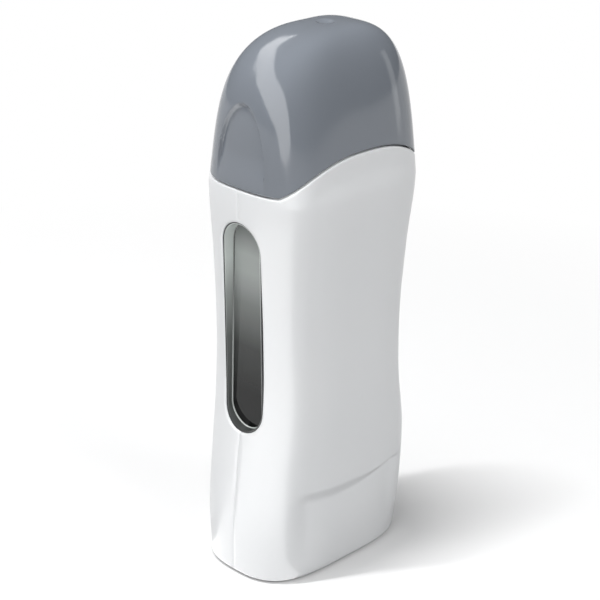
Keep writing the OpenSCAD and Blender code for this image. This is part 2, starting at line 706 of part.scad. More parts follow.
// Fasteners and feet
module housing_screws() color([0.72, 0.72, 0.72]) for (s = screw_spots) difference() {
    union() {
        rod_y(screw_r - 0.05, -7, screw_seat, s[0], s[1]);
        rod_y(screw_head_r, screw_seat, screw_seat + 2.2, s[0], s[1]);
    }
    for (a = [0, 90]) translate([s[0], screw_seat + 1, s[1]]) rotate([0, a, 0])
        translate([-1.9, 0, -0.4]) cube([3.8, 3, 0.8]);
}

module feet() color([0.30, 0.30, 0.31]) for (p = foot_spots)
    rod_z(foot_r, 0, foot_stand + foot_sunk, p[0], p[1]);

// Leads: round tubes swept along hand-laid routes
lead_r = 0.8;
lead_sides = 5;
function unit(v) = v / norm(v);
function lead_dir(route, i) =
    unit(i == 0 ? route[1] - route[0]
        : i == len(route) - 1 ? route[i] - route[i - 1]
        : unit(route[i] - route[i - 1]) + unit(route[i + 1] - route[i]));
// A side vector carried along the route without twisting
function lead_side(route, i) =
    let (
        d = lead_dir(route, i),
        last = i == 0 ? (abs(d[2]) > 0.9 ? [1, 0, 0] : [0, 0, 1]) : lead_side(route, i - 1)
    )
    unit(last - (last * d) * d);
function lead_ring(route, i) =
    let (d = lead_dir(route, i), u = lead_side(route, i), v = cross(d, u))
    [for (k = [0:lead_sides - 1]) let (a = 360 * k / lead_sides)
        route[i] + lead_r * (cos(a) * u + sin(a) * v)];
module lead(route) {
    n = len(route);
    m = lead_sides;
    polyhedron(
        points = join_faces([for (i = [0:n - 1]) lead_ring(route, i)]),
        faces = concat(
            [[for (k = [0:m - 1]) k]],
            [[for (k = [m - 1:-1:0]) (n - 1) * m + k]],
            join_faces([for (i = [0:n - 2], k = [0:m - 1])
                let (j = (k + 1) % m) quad(i * m + k, (i + 1) * m + k, (i + 1) * m + j, i * m + j)])
        )
    );
}
// Rounded route through hand-laid points
function bend(p, q, s, t) = (1 - t) * (1 - t) * p + 2 * t * (1 - t) * q + t * t * s;
function rounded_route(points) =
    let (n = len(points))
    concat([points[0]],
        join_faces([for (i = [1:n - 2])
            let (
                p = points[i] + 0.45 * (points[i - 1] - points[i]),
                s = points[i] + 0.45 * (points[i + 1] - points[i])
            )
            [for (t = [0.1, 0.9]) bend(p, points[i], s, t)]]),
        [points[n - 1]]);

heater_lead_y = chamber_face + insulator_t + heater_t / 2;
live_route = [[7, -4.3, 20.5], [4, -4.3, 20.5], [1, -2, 12], [4, 8, 8.5], [4, 12.5, 11], [4, 12.5, 18]];
neutral_route = [[7, 4.3, 20.5], [4, 4.3, 20.5], [0, 4, 12], [-8, 5, 5.2], [-12.9, 10, 5.2],
    [-12.9, 12.5, 8], [-12.9, 12.5, 18]];
fuse_in_route = [[4.9, 12.5, 28], [4.9, 12.5, 33], [9, 9, 40], [17, 4, 46], [16.5, 0, 51.4], [12, 0, 51.4]];
fuse_out_route = [[-4.9, 12.5, 28], [-4.9, 12.5, 34], [-9, 8, 42], [-17, 3, 47], [-16.5, 0, 51.4],
    [-12, 0, 51.4]];
near_live_route = [[lead_x, -heater_lead_y, 58], [lead_x, -heater_lead_y, 46], [4, -14, 30], [0, -10, 10],
    [-3, 0, 5.2], [-4, 9, 5.2], [-4, 12.5, 9], [-4, 12.5, 18]];
near_neutral_route = [[-lead_x, -heater_lead_y, 58], [-lead_x, -heater_lead_y, 46], [-9, -10, 38],
    [-12.9, 4, 37], [-12.9, 12.5, 35], [-12.9, 12.5, 28]];
far_live_route = [[lead_x, heater_lead_y, 58], [lead_x, heater_lead_y, 47], [3, 16.5, 40], [-3.1, 13.5, 37],
    [-3.1, 12.5, 33], [-3.1, 12.5, 28]];
far_neutral_route = [[-lead_x, heater_lead_y, 58], [-lead_x, heater_lead_y, 47], [-8, 16.5, 41],
    [-11.1, 13.5, 37], [-11.1, 12.5, 33], [-11.1, 12.5, 28]];
lamp_live_route = [[11, 1, 46], [8, 1, 46], [5, 5, 42], [3.1, 10, 36], [3.1, 12.5, 33], [3.1, 12.5, 28]];
lamp_neutral_route = [[19, -1.2, 46], [16, -1.2, 46], [14, -4, 40], [6, -5, 33], [-4, -5, 30], [-10, 0, 20],
    [-11.1, 7, 12], [-11.1, 12.5, 11.5], [-11.1, 12.5, 18]];

module supply_leads() {
    color([0.45, 0.26, 0.16]) lead(rounded_route(live_route));
    color([0.25, 0.40, 0.65]) lead(rounded_route(neutral_route));
}
module fuse_leads() color([0.85, 0.85, 0.82]) {
    lead(rounded_route(fuse_in_route));
    lead(rounded_route(fuse_out_route));
}
module near_heater_leads() color([0.85, 0.85, 0.82]) {
    lead(rounded_route(near_live_route));
    lead(rounded_route(near_neutral_route));
}
module far_heater_leads() color([0.85, 0.85, 0.82]) {
    lead(rounded_route(far_live_route));
    lead(rounded_route(far_neutral_route));
}
module lamp_leads() color([0.85, 0.85, 0.82]) {
    lead(rounded_route(lamp_live_route));
    lead(rounded_route(lamp_neutral_route));
}
module lamp_resistor() color([0.80, 0.70, 0.50]) {
    rod_x(1.2, 11, 17, 1, 46);
    rod_x(0.4, 17, 19, 1, 46);
}

cap();
near_shell();
far_shell();
collar();
window_lens();
window_seal();
mouth_seal();
chamber_tube();
chamber_floor();
chamber_cradle();
near_insulator();
near_heater();
near_spring();
far_insulator();
far_heater();
far_spring();
thermal_fuse();
fuse_sleeve();
terminal_block();
terminal_tubes();
terminal_screws();
block_screws();
power_inlet();
inlet_pins();
supply_leads();
fuse_leads();
near_heater_leads();
far_heater_leads();
lamp_leads();
lamp_resistor();
indicator_lamp();
indicator_lens();
housing_screws();
feet();
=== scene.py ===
import math
import bmesh
import bpy
from mathutils import Matrix, Vector


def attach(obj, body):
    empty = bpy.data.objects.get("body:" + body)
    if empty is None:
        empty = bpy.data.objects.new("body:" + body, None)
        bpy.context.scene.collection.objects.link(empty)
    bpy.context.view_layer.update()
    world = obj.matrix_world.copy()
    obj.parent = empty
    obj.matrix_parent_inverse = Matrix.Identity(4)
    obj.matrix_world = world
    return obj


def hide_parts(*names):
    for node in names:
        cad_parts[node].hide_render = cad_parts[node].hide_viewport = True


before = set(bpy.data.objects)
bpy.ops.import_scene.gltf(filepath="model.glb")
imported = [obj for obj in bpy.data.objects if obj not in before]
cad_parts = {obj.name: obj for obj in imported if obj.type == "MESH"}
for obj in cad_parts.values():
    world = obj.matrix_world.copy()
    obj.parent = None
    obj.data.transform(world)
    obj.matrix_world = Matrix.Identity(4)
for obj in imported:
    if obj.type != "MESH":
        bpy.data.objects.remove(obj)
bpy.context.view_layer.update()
scene = bpy.context.scene
print("frame loaded:", len(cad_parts), "nodes")

# camera, at the photograph's place
cameraSetup = {"place": (-0.382088, -0.363792, 0.316142), "azimuth": -46.003, "elevation": 23.143,
               "roll": 1.593, "lens": 103.2}


def directionAt(azimuth, elevation):
    azimuth, elevation = math.radians(azimuth), math.radians(elevation)
    return Vector((math.sin(azimuth) * math.cos(elevation), -math.cos(azimuth) * math.cos(elevation),
                   math.sin(elevation)))


def makeCamera(setup):
    back = directionAt(setup["azimuth"], setup["elevation"])
    azimuth, roll = math.radians(setup["azimuth"]), math.radians(setup["roll"])
    right = Vector((math.cos(azimuth), math.sin(azimuth), 0))
    up = back.cross(right)
    across = right * math.cos(roll) + up * math.sin(roll)
    upward = up * math.cos(roll) - right * math.sin(roll)
    data = bpy.data.cameras.new("camera")
    data.sensor_width = 36
    data.lens = setup["lens"]
    data.clip_start, data.clip_end = 0.01, 20
    camera = bpy.data.objects.new("camera", data)
    turn = Matrix((across, upward, back)).transposed().to_4x4()
    camera.matrix_world = Matrix.Translation(setup["place"]) @ turn
    scene.collection.objects.link(camera)
    scene.camera = camera


makeCamera(cameraSetup)
print("camera placed")

# outer form, in millimetres: one rounded section that follows these levels from base to crown
form = {
    "levels": (0.8, 20, 42, 65, 88, 111, 135),
    "front": (34.4, 34.6, 33.0, 31.0, 31.6, 33.0, 34.4),
    "back": (34.0, 34.6, 34.4, 30.3, 30.0, 31.4, 33.2),
    "depth": (20.9, 22.7, 23.2, 23.4, 22.7, 23.2, 24.6),
    "sharpX": 3.77, "sharpY": 2.84,
    "height": 185, "crownFoot": 135, "crownX": 0.7, "crownTaper": 0.184,
    "frontCrown": (4.1, 2.4), "backCrown": (2.9, 3.65), "depthCrown": (6.7, 4),
    "joint": 137.8, "jointRise": 10.6, "jointHalf": 31.4, "jointGap": 0.5,
    "archPower": 2.7, "archFade": (95, 172), "sagFade": (18, 29, 36, 48),
    "foot": 0.8, "step": 29.7, "stepDepth": 2.1, "stepRun": (3.0, 1.3), "stepRise": 2.0, "stepHalf": 22,
    "stepNarrows": (-10, 24), "panelDepth": 0.8, "panelEdge": (0.55, 0.82),
    "recessTop": 165.3, "recessHalf": 10.6, "recessDepth": 1.3, "recessEdge": 0.13, "recessPower": 2.3,
}


def smooth(value, low, high):
    t = max(0.0, min(1.0, (value - low) / (high - low)))
    return t * t * (3 - 2 * t)


def signedPow(value, power):
    return math.copysign(abs(value) ** power, value)


def slopesOf(values):
    levels = form["levels"]
    inner = [(values[i + 1] - values[i - 1]) / (levels[i + 1] - levels[i - 1])
             for i in range(1, len(levels) - 1)]
    return [(values[1] - values[0]) / (levels[1] - levels[0]), *inner, 0.0]


slopes = {name: slopesOf(form[name]) for name in ("front", "back", "depth")}


def curve(name, z):
    levels, values, slope = form["levels"], form[name], slopes[name]
    z = max(levels[0], min(levels[-1], z))
    i = 0
    while i < len(levels) - 2 and z >= levels[i + 1]:
        i += 1
    h = levels[i + 1] - levels[i]
    t = (z - levels[i]) / h
    t2, t3 = t * t, t * t * t
    return ((2 * t3 - 3 * t2 + 1) * values[i] + (t3 - 2 * t2 + t) * h * slope[i]
            + (3 * t2 - 2 * t3) * values[i + 1] + (t3 - t2) * h * slope[i + 1])


def crown(z, inset, n, m):
    t = max(0.0, min(1.0, (z - form["crownFoot"]) / (form["height"] - inset - form["crownFoot"])))
    return max(0.0, 1 - t ** n) ** (1 / m)


def frontAt(z, inset):
    middle = form["crownX"]
    return (curve("front", z) - inset + middle) * crown(z, inset, *form["frontCrown"]) - middle


def backAt(z, inset):
    middle = form["crownX"]
    return (curve("back", z) - inset - middle) * crown(z, inset, *form["backCrown"]) + middle


def depthAt(z, inset):
    taper = form["crownTaper"] * max(0.0, z - form["crownFoot"])
    return (curve("depth", z) - taper - inset) * crown(z, inset, *form["depthCrown"])


def midAndHalf(z, inset):
    front, back = frontAt(z, inset), backAt(z, inset)
    return (back - front) / 2, (back + front) / 2


def bent(line, x):
    # height of a level line at x: arched under the cap line, sagging at the step
    arch = form["jointRise"] * max(0.0, 1 - (abs(x) / form["jointHalf"]) ** form["archPower"])
    sag = form["stepRise"] * min(1.0, (x / form["stepHalf"]) ** 2)
    low, high = form["archFade"]
    archShare = smooth(line, low, form["joint"]) * (1 - smooth(line, form["joint"], high))
    fade = form["sagFade"]
    sagShare = smooth(line, *fade[:2]) * (1 - smooth(line, *fade[2:]))
    return line + arch * archShare + sag * sagShare


def lineThrough(z, x):
    line = z
    for _ in range(6):
        line = z - (bent(line, x) - line)
    return line


def faceInset(line, x):
    # soft shoulder under the cap line and the step above the base, which is sharper towards the back
    shoulder = form["panelDepth"] * smooth(form["joint"] - line, 0, 7)
    wide, narrow = form["stepRun"]
    run = wide + (narrow - wide) * smooth(x, *form["stepNarrows"])
    step = form["stepDepth"] * (1 - smooth(line, form["step"] - run, form["step"] + run))
    fade = max(0.0, min(1.0, (line - form["foot"]) / (form["step"] - form["foot"])))
    return (shoulder + step) * fade


def faceShare(x, mid, half):
    return 1 - smooth(abs(x - mid) / max(half, 0.001), *form["panelEdge"])


def recessAt(y, z, full):
    u = max(0.0, (z - form["joint"]) / (form["recessTop"] - form["joint"]))
    inside = 1 - (y / form["recessHalf"]) ** 2 - u ** form["recessPower"]
    return full * smooth(inside, 0, form["recessEdge"]) * smooth(z, form["joint"], form["joint"] + 12)


def skinPoint(turn, line, inset, full=0.0):
    # turn runs from the front seam (0) over the near side to the back seam (pi)
    c, s = math.cos(turn), math.sin(turn)
    across = signedPow(c, 2 / form["sharpX"])
    mid, half = midAndHalf(line, inset)
    z = bent(line, mid - half * across)
    mid, half = midAndHalf(z, inset)
    x = mid - half * across
    y = -depthAt(z, inset) * signedPow(s, 2 / form["sharpY"])
    y += math.copysign(faceInset(line, x) * faceShare(x, mid, half), s)
    if full:
        x += math.copysign(recessAt(y, z, full), c)
    return Vector((x, y, z))


def narrowPoint(y, z, inset, front):
    # point of the narrow front or back at y, z
    mid, half = midAndHalf(z, inset)
    reach = half * (1 - min(1.0, (abs(y) / depthAt(z, inset)) ** form["sharpY"])) ** (1 / form["sharpX"])
    return Vector((mid - reach if front else mid + reach, y, z))


def broadPoint(x, z, inset):
    # point of the near broad side at x, z
    mid, half = midAndHalf(z, inset)
    reach = depthAt(z, inset) * (1 - abs((x - mid) / half) ** form["sharpX"]) ** (1 / form["sharpY"])
    return Vector((x, -reach + faceInset(lineThrough(z, x), x) * faceShare(x, mid, half), z))


def quarterTurns(count, narrowShare=0.0):
    # turns over a quarter of the section, closer together round the corner and, by share, on the narrow side
    half, depth = midAndHalf(100, 0)[1], depthAt(100, 0)
    fine = [math.pi / 2 * i / 1200 for i in range(1201)]
    points = [Vector((half * math.cos(a) ** (2 / form["sharpX"]) if a < fine[-1] else 0.0,
                      depth * math.sin(a) ** (2 / form["sharpY"]))) for a in fine]
    runs = [b - a for a, b in zip(points, points[1:])]
    total = sum(r.length for r in runs)
    reached = [0.0]
    for i, run in enumerate(runs):
        bend = run.angle(runs[i - 1]) if i else 0.0
        spread = 1 + narrowShare * (points[i].y < 12)
        reached.append(reached[-1] + spread * run.length / total + 1.1 * bend / (math.pi / 2))
    result, j = [], 0
    for k in range(count + 1):
        goal = reached[-1] * k / count
        while j < len(reached) - 2 and reached[j + 1] < goal:
            j += 1
        share = (goal - reached[j]) / (reached[j + 1] - reached[j])
        result.append(fine[j] + min(1.0, share) * (fine[j + 1] - fine[j]))
    return result


def overHalf(quarter):
    return quarter + [math.pi - a for a in reversed(quarter[:-1])]


halfTurns = overHalf(quarterTurns(48))


def roundEdge(radius, degrees=(0, 22, 45, 67, 90)):
    # round an edge of this radius: how far before the end, and how far inwards
    turns = [math.radians(a) for a in degrees]
    return [(radius * (1 - math.sin(a)), radius * (1 - math.cos(a))) for a in turns]


def addObject(name, bm):
    # puts a bmesh into the scene as an object and uses it up
    mesh = bpy.data.meshes.new(name)
    bm.to_mesh(mesh)
    bm.free()
    made = bpy.data.objects.new(name, mesh)
    scene.collection.objects.link(made)
    return made


def layGrid(columns, rows, place):
    # a grid whose vertices are placed by column and row; returns it with its vertices by (column, row)
    bm = bmesh.new()
    made = bmesh.ops.create_grid(bm, x_segments=columns - 1, y_segments=rows - 1, size=1)["verts"]
    at = {}
    for v in made:
        column = round((v.co.x + 1) / 2 * (columns - 1))
        row = round((v.co.y + 1) / 2 * (rows - 1))
        at[column, row] = v
    for (column, row), v in at.items():
        v.co = place(column, row)
    return bm, at


def extrudeTo(bm, path, places, closed=False):
    # extrudes a path of vertices and puts the new ones at these places
    pairs = list(zip(path, path[1:] + path[:1] if closed else path[1:]))
    edges = [bm.edges.get(pair) for pair in pairs]
    made = bmesh.ops.extrude_edge_only(bm, edges=edges)["geom"]
    fresh = {v for v in made if isinstance(v, bmesh.types.BMVert)}
    following = [next(e.other_vert(v) for e in v.link_edges if e.other_vert(v) in fresh) for v in path]
    for v, place in zip(following, places):
        v.co = place
    return following


def startRing(bm, places):
    made = bmesh.ops.create_circle(bm, segments=len(places), radius=1)["verts"]
    ring = sorted(made, key=lambda v: math.atan2(v.co.y, v.co.x))
    for v, place in zip(ring, places):
        v.co = place
    return ring


def closeRing(bm, ring):
    edges = [bm.edges.get((a, b)) for a, b in zip(ring, ring[1:] + ring[:1])]
    bmesh.ops.contextual_create(bm, geom=edges)


def bridgeRings(bm, first, last):
    edges = [bm.edges.get((a, b)) for ring in (first, last) for a, b in zip(ring, ring[1:] + ring[:1])]
    bmesh.ops.bridge_loops(bm, edges=edges)


def loft(bm, rings, endless=False):
    # closed rings of equal counts, one after another; the ends are filled or, when endless, bridged
    first = path = startRing(bm, rings[0])
    for ring in rings[1:]:
        path = extrudeTo(bm, path, ring, closed=True)
    if endless:
        bridgeRings(bm, first, path)
    else:
        closeRing(bm, first)
        closeRing(bm, path)


def stadiumRing(x, radius, low, high, count=96):
    # upright slot outline in the plane x
    ring = []
    for i in range(count):
        a = 2 * math.pi * (i + 0.5) / count
        y, z = radius * math.cos(a), radius * math.sin(a)
        ring.append(Vector((x, y, z + (high if z > 0 else low))))
    return ring


def roundRectRing(width, depth, radius, count=72):
    # rounded rectangle as 2-D points, evenly turned
    ring = []
    for i in range(count):
        a = 2 * math.pi * (i + 0.5) / count
        c, s = math.cos(a), math.sin(a)
        ring.append(Vector((math.copysign(width / 2 - radius, c) + radius * c,
                            math.copysign(depth / 2 - radius, s) + radius * s)))
    return ring


def barrel(bm, stations, axis, centre, count):
    # turned form: stations of (position along the axis, radius); radius 0 at an end closes it in a point
    axis, centre = Vector(axis), Vector(centre)
    side = Vector((0, 0, 1)) if abs(axis.z) < 0.5 else Vector((1, 0, 0))
    other = axis.cross(side)
    turns = [2 * math.pi * i / count for i in range(count)]
    first = path = None
    for along, radius in stations:
        places = [centre + axis * along + (side * math.cos(a) + other * math.sin(a)) * radius for a in turns]
        path = extrudeTo(bm, path, places, closed=True) if path else startRing(bm, places)
        first = first or path
    for ring, (_, radius) in ((first, stations[0]), (path, stations[-1])):
        if radius > 0:
            closeRing(bm, ring)
    bmesh.ops.remove_doubles(bm, verts=bm.verts[:], dist=0.0005)


def addBlock(bm, low, high, rounding=0.15):
    # a block between two corners with softened edges
    cube = bmesh.ops.create_cube(bm, size=1)["verts"]
    low, high = Vector(low), Vector(high)
    bmesh.ops.scale(bm, vec=high - low, verts=cube)
    bmesh.ops.translate(bm, vec=(low + high) / 2, verts=cube)
    edges = list({e for v in cube for e in v.link_edges})
    bmesh.ops.bevel(bm, geom=edges, offset=rounding, offset_type="OFFSET", segments=2, profile=0.5,
                    affect="EDGES", material=-1)


def cutAway(bm, cutter):
    # takes the cutter's form out of the other; both are used up, and a new bmesh comes back
    held = []
    for made in (bm, cutter):
        bmesh.ops.recalc_face_normals(made, faces=made.faces[:])
        held.append(addObject("cutting", made))
    cut = held[0].modifiers.new("cut", "BOOLEAN")
    cut.operation, cut.solver, cut.object = "DIFFERENCE", "EXACT", held[1]
    cut.use_self = True
    result = bmesh.new()
    result.from_object(held[0], bpy.context.evaluated_depsgraph_get())
    for one in held:
        mesh = one.data
        bpy.data.objects.remove(one)
        bpy.data.meshes.remove(mesh)
    return result


def finishPiece(name, bm, body, finish, replaced):
    # millimetres become metres; replaced is the CAD node that this piece stands for, if any
    bmesh.ops.recalc_face_normals(bm, faces=bm.faces[:])
    piece = addObject(name, bm)
    mesh = piece.data
    mesh.transform(Matrix.Scale(0.001, 4))
    mesh.shade_smooth()
    mesh.set_sharp_from_angle(angle=math.radians(35))
    mesh.materials.append(finishes[finish])
    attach(piece, body)
    if replaced:
        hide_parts(replaced)
    print("made", name, len(mesh.polygons), "faces")


# materials
def newMaterial(name):
    # a material, its node tree, its main shader and the object's own coordinates
    material = bpy.data.materials.new(name)
    material.use_nodes = True
    tree = material.node_tree
    return material, tree, tree.nodes["Principled BSDF"], addNode(tree, "TexCoord").outputs["Object"]


def addNode(tree, kind, values=None, **sources):
    # a node with these values on its sockets, and these outputs linked to its sockets
    node = tree.nodes.new("ShaderNode" + kind)
    for socket, value in (values or {}).items():
        node.inputs[socket].default_value = value
    for socket, source in sources.items():
        tree.links.new(source, node.inputs[socket])
    return node


def addNoise(tree, coords, scale, detail, stretch=(1, 1, 1)):
    mapping = addNode(tree, "Mapping", {"Scale": stretch}, Vector=coords)
    noise = addNode(tree, "TexNoise", {"Scale": scale, "Detail": detail}, Vector=mapping.outputs["Vector"])
    return noise.outputs["Fac"]


def addRange(tree, fac, low, high, start=0.3, end=0.7):
    limits = {"From Min": start, "From Max": end, "To Min": low, "To Max": high}
    return addNode(tree, "MapRange", limits, Value=fac).outputs["Result"]


def addColours(tree, fac, stops):
    ramp = addNode(tree, "ValToRGB", Fac=fac)
    while len(ramp.color_ramp.elements) < len(stops):
        ramp.color_ramp.elements.new(0.5)
    for element, (place, colour) in zip(ramp.color_ramp.elements, stops):
        element.position = place
        element.color = (*colour, 1)
    return ramp.outputs["Color"]


def finishShader(tree, shader, colour, roughness, values, bump=None):
    # links colour, roughness and, if given, (height, strength, distance) of a bump; the rest are plain values
    tree.links.new(colour, shader.inputs["Base Color"])
    tree.links.new(roughness, shader.inputs["Roughness"])
    if bump:
        height, strength, distance = bump
        skin = addNode(tree, "Bump", {"Strength": strength, "Distance": distance}, Height=height)
        tree.links.new(skin.outputs["Normal"], shader.inputs["Normal"])
    for socket, value in values.items():
        shader.inputs[socket].default_value = value


def mouldedPlastic(name, pale, dark, roughness, coat=0.0, grain=2200, grainDepth=0.00002, transmission=0.0):
    # moulded plastic: a faint drift of colour, uneven gloss and the fine skin of a mould
    material, tree, shader, coords = newMaterial(name)
    colour = addColours(tree, addNoise(tree, coords, 26, 2), [(0.3, dark), (0.7, pale)])
    gloss = addRange(tree, addNoise(tree, coords, 104, 4), *roughness)
    values = {"IOR": 1.5, "Coat Weight": coat, "Coat Roughness": 0.06, "Transmission Weight": transmission}
    finishShader(tree, shader, colour, gloss, values, (addNoise(tree, coords, grain, 2), 0.25, grainDepth))
    return material


def drawnMetal(name, pale, dark, roughness, stretch):
    # metal with drawing lines along its length
    material, tree, shader, coords = newMaterial(name)
    lines = addNoise(tree, coords, 30, 5, stretch)
    colour = addColours(tree, lines, [(0.3, dark), (0.7, pale)])
    gloss = addRange(tree, lines, *roughness)
    finishShader(tree, shader, colour, gloss, {"Metallic": 1.0}, (lines, 0.15, 0.00003))
    return material


def plasticWithPaintedShading(name, stops, roughness, transmission, specular):
    # glossy plastic whose colour is painted lighter or darker with height, as painted light and shade; stops
    # are (height in mm, brightness)
    material, tree, shader, coords = newMaterial(name)
    split = addNode(tree, "SeparateXYZ", Vector=coords)
    low, high = stops[0][0], stops[-1][0]
    height = addRange(tree, split.outputs["Z"], 0.0, 1.0, low / 1000, high / 1000)
    paintedShadingTints = [((z - low) / (high - low), (0.94 * c, c, 0.97 * c)) for z, c in stops]
    gloss = addRange(tree, addNoise(tree, coords, 90, 3), *roughness)
    values = {"IOR": 1.5, "Specular IOR Level": specular, "Transmission Weight": transmission}
    finishShader(tree, shader, addColours(tree, height, paintedShadingTints), gloss, values)
    return material


# finish: (name, pale, dark, lowest and highest roughness); roughness keeps clear of 0.275, where
# the renderer's noise filter draws a hard edge
plastics = {
    "shellWhite": ("gloss white housing plastic", (0.795, 0.805, 0.815), (0.785, 0.797, 0.81),
                   (0.285, 0.315)),
    "capGrey": ("gloss blue-grey cap plastic", (0.192, 0.211, 0.24), (0.186, 0.205, 0.233), (0.085, 0.1)),
    "collarWhite": ("satin collar plastic", (0.62, 0.64, 0.65), (0.57, 0.59, 0.6), (0.35, 0.45)),
    "softBlack": ("dark sealing rubber", (0.035, 0.036, 0.038), (0.022, 0.023, 0.024), (0.5, 0.65)),
    "feetRubber": ("grey foot rubber", (0.07, 0.07, 0.075), (0.05, 0.05, 0.053), (0.55, 0.7)),
    "inletBlack": ("matt black inlet plastic", (0.03, 0.031, 0.033), (0.02, 0.021, 0.022), (0.32, 0.45)),
    "lensRed": ("clear red indicator plastic", (0.55, 0.02, 0.015), (0.42, 0.012, 0.01), (0.1, 0.16)),
    "silicone": ("red silicone", (0.45, 0.08, 0.05), (0.36, 0.06, 0.035), (0.45, 0.55)),
    "darkPart": ("heat-resistant dark plastic", (0.04, 0.04, 0.042), (0.028, 0.028, 0.03), (0.4, 0.55)),
    "film": ("amber insulating film", (0.55, 0.36, 0.10), (0.45, 0.28, 0.07), (0.2, 0.26)),
    "heaterBody": ("grey heater ceramic", (0.12, 0.125, 0.13), (0.09, 0.094, 0.1), (0.45, 0.6)),
    "blockPlastic": ("ivory terminal plastic", (0.66, 0.64, 0.55), (0.58, 0.56, 0.48), (0.38, 0.5)),
    "leadBrown": ("brown lead sheath", (0.16, 0.06, 0.025), (0.12, 0.045, 0.018), (0.35, 0.5)),
    "leadWhite": ("white silicone lead", (0.66, 0.65, 0.61), (0.58, 0.57, 0.53), (0.4, 0.55)),
    "sleeve": ("braided glass sleeve", (0.66, 0.62, 0.52), (0.5, 0.47, 0.38), (0.6, 0.8)),
    "lampGlass": ("orange lamp glass", (0.65, 0.22, 0.08), (0.5, 0.16, 0.05), (0.08, 0.15)),
}
plasticExtras = {
    "shellWhite": {"coat": 0.2}, "lensRed": {"coat": 0.6, "transmission": 0.5},
    "sleeve": {"grain": 900, "grainDepth": 0.0002}, "lampGlass": {"transmission": 0.6},
}
metals = {
    "wellMetal": ("drawn aluminium", (0.72, 0.73, 0.74), (0.55, 0.56, 0.57), (0.3, 0.45), (60, 60, 1)),
    "plateMetal": ("zinc-plated steel", (0.68, 0.67, 0.64), (0.5, 0.49, 0.47), (0.29, 0.4), (8, 8, 8)),
    "brass": ("turned brass", (0.72, 0.52, 0.22), (0.55, 0.38, 0.14), (0.29, 0.36), (8, 8, 8)),
    "pinMetal": ("nickel-plated pin", (0.78, 0.77, 0.74), (0.62, 0.61, 0.58), (0.16, 0.25), (1, 40, 40)),
}
# finish: (name, (height, brightness) stops of painted light and shade, roughness, transmission, specular)
paintedShadingPlastics = {
    # pane: the near-black low end is its smoke tint; lighter up to 114 mm is a painted reflection, darker
    # above that a painted shade
    "smokedLensPaintedLight": ("smoked window pane, painted reflection and shade", ((52, 0.004), (66, 0.008), (82, 0.05), (97, 0.2), (108, 0.4),
                                          (114, 0.42), (121, 0.24), (127, 0.1)), (0.04, 0.08), 0.03, 0.3),
    # rim: dark low down as painted shade, pale higher up as painted light
    "windowRimPaintedShading": ("window rim, painted light and shade", ((52, 0.06), (60, 0.13), (84, 0.22), (100, 0.5), (112, 0.85),
                                        (127, 0.75)), (0.08, 0.14), 0.1, 0.5),
    # edge: painted highlight low down, fading to painted shade at the top
    "windowEdgePaintedHighlight": ("pane edge, painted highlight and shade", ((52, 0.6), (66, 0.5), (84, 0.42), (98, 0.2), (110, 0.1),
                                                    (127, 0.06)), (0.05, 0.1), 0.1, 0.5),
}
finishes = {key: mouldedPlastic(*values, **plasticExtras.get(key, {})) for key, values in plastics.items()}
finishes.update((key, drawnMetal(*values)) for key, values in metals.items())
finishes.update((key, plasticWithPaintedShading(*values)) for key, values in paintedShadingPlastics.items())
print("materials ready:", len(finishes))

# housing shells
shellSetup = {
    "wall": 2.2, "floor": 2.2, "bottomRound": 1.6, "bottomInset": 0.8, "rimRound": 0.45,
    "seamColumns": ((0.02, 0.2), (0.09, 0.07), (0.2, 0.0)),  # distance from the middle, depth of the groove
}


def frange(start, end, step):
    count = max(1, round((end - start) / step))
    return [start + (end - start) * i / count for i in range(count)]


def shellRows():
    # (level line, inset) from the bottom's edge up the outside, over the rim and down the inside
    s = shellSetup
    turns = [math.radians(15 * i) for i in range(7)]
    rows = [(form["foot"] + s["bottomRound"] * (1 - math.cos(a)), s["bottomInset"] * (1 - math.sin(a)))
            for a in turns]
    lines = (frange(3.1, 26.5, 1.3) + frange(26.5, 33, 0.3) + frange(33, 48, 1.1)
             + frange(48, 131, 2.0) + frange(131, 137.1, 0.5))
    rows += [(line, 0.0) for line in lines]
    top = form["joint"] - form["jointGap"] / 2
    rows += [(top - back, inset) for back, inset in roundEdge(s["rimRound"])]
    rows += [(top, s["wall"] - 0.25), (top - 0.25, s["wall"])]
    inner = []
    for line in [0.8] + lines:
        start = form["foot"] + s["floor"]
        deep = line if line > 9 else start + (line - form["foot"]) * (9 - start) / (9 - form["foot"])
        inner.append((deep, s["wall"]))
    return rows, inner[::-1], lines


def seamTurn(y, z, inset):
    return math.asin(min(1.0, (y / depthAt(z, inset)) ** (form["sharpY"] / 2)))


def closestOutline(u, v, spec, grow=0.0):
    # nearest point of a rounded outline to (u, v), grown outwards
    cu, cv = spec["centre"]
    hu, hv = spec["core"]
    du, dv = u - cu, v - cv
    qu, qv = max(-hu, min(hu, du)), max(-hv, min(hv, dv))
    reach = spec["radius"] + grow
    if spec["side"] != "broad" and abs(u) <= 0.3:
        return u, cv + math.copysign(hv + math.sqrt(reach * reach - max(0.0, abs(u) - hu) ** 2), dv)
    away = Vector((du - qu, dv - qv)).normalized()
    return cu + qu + away.x * reach, cv + qv + away.y * reach


def sidePoint(spec, u, v, inset):
    if spec["side"] == "broad":
        return broadPoint(u, v, inset)
    return narrowPoint(u, v, inset, spec["side"] == "front")


def sideCoords(spec, co):
    return (co.x, co.z) if spec["side"] == "broad" else (co.y, co.z)


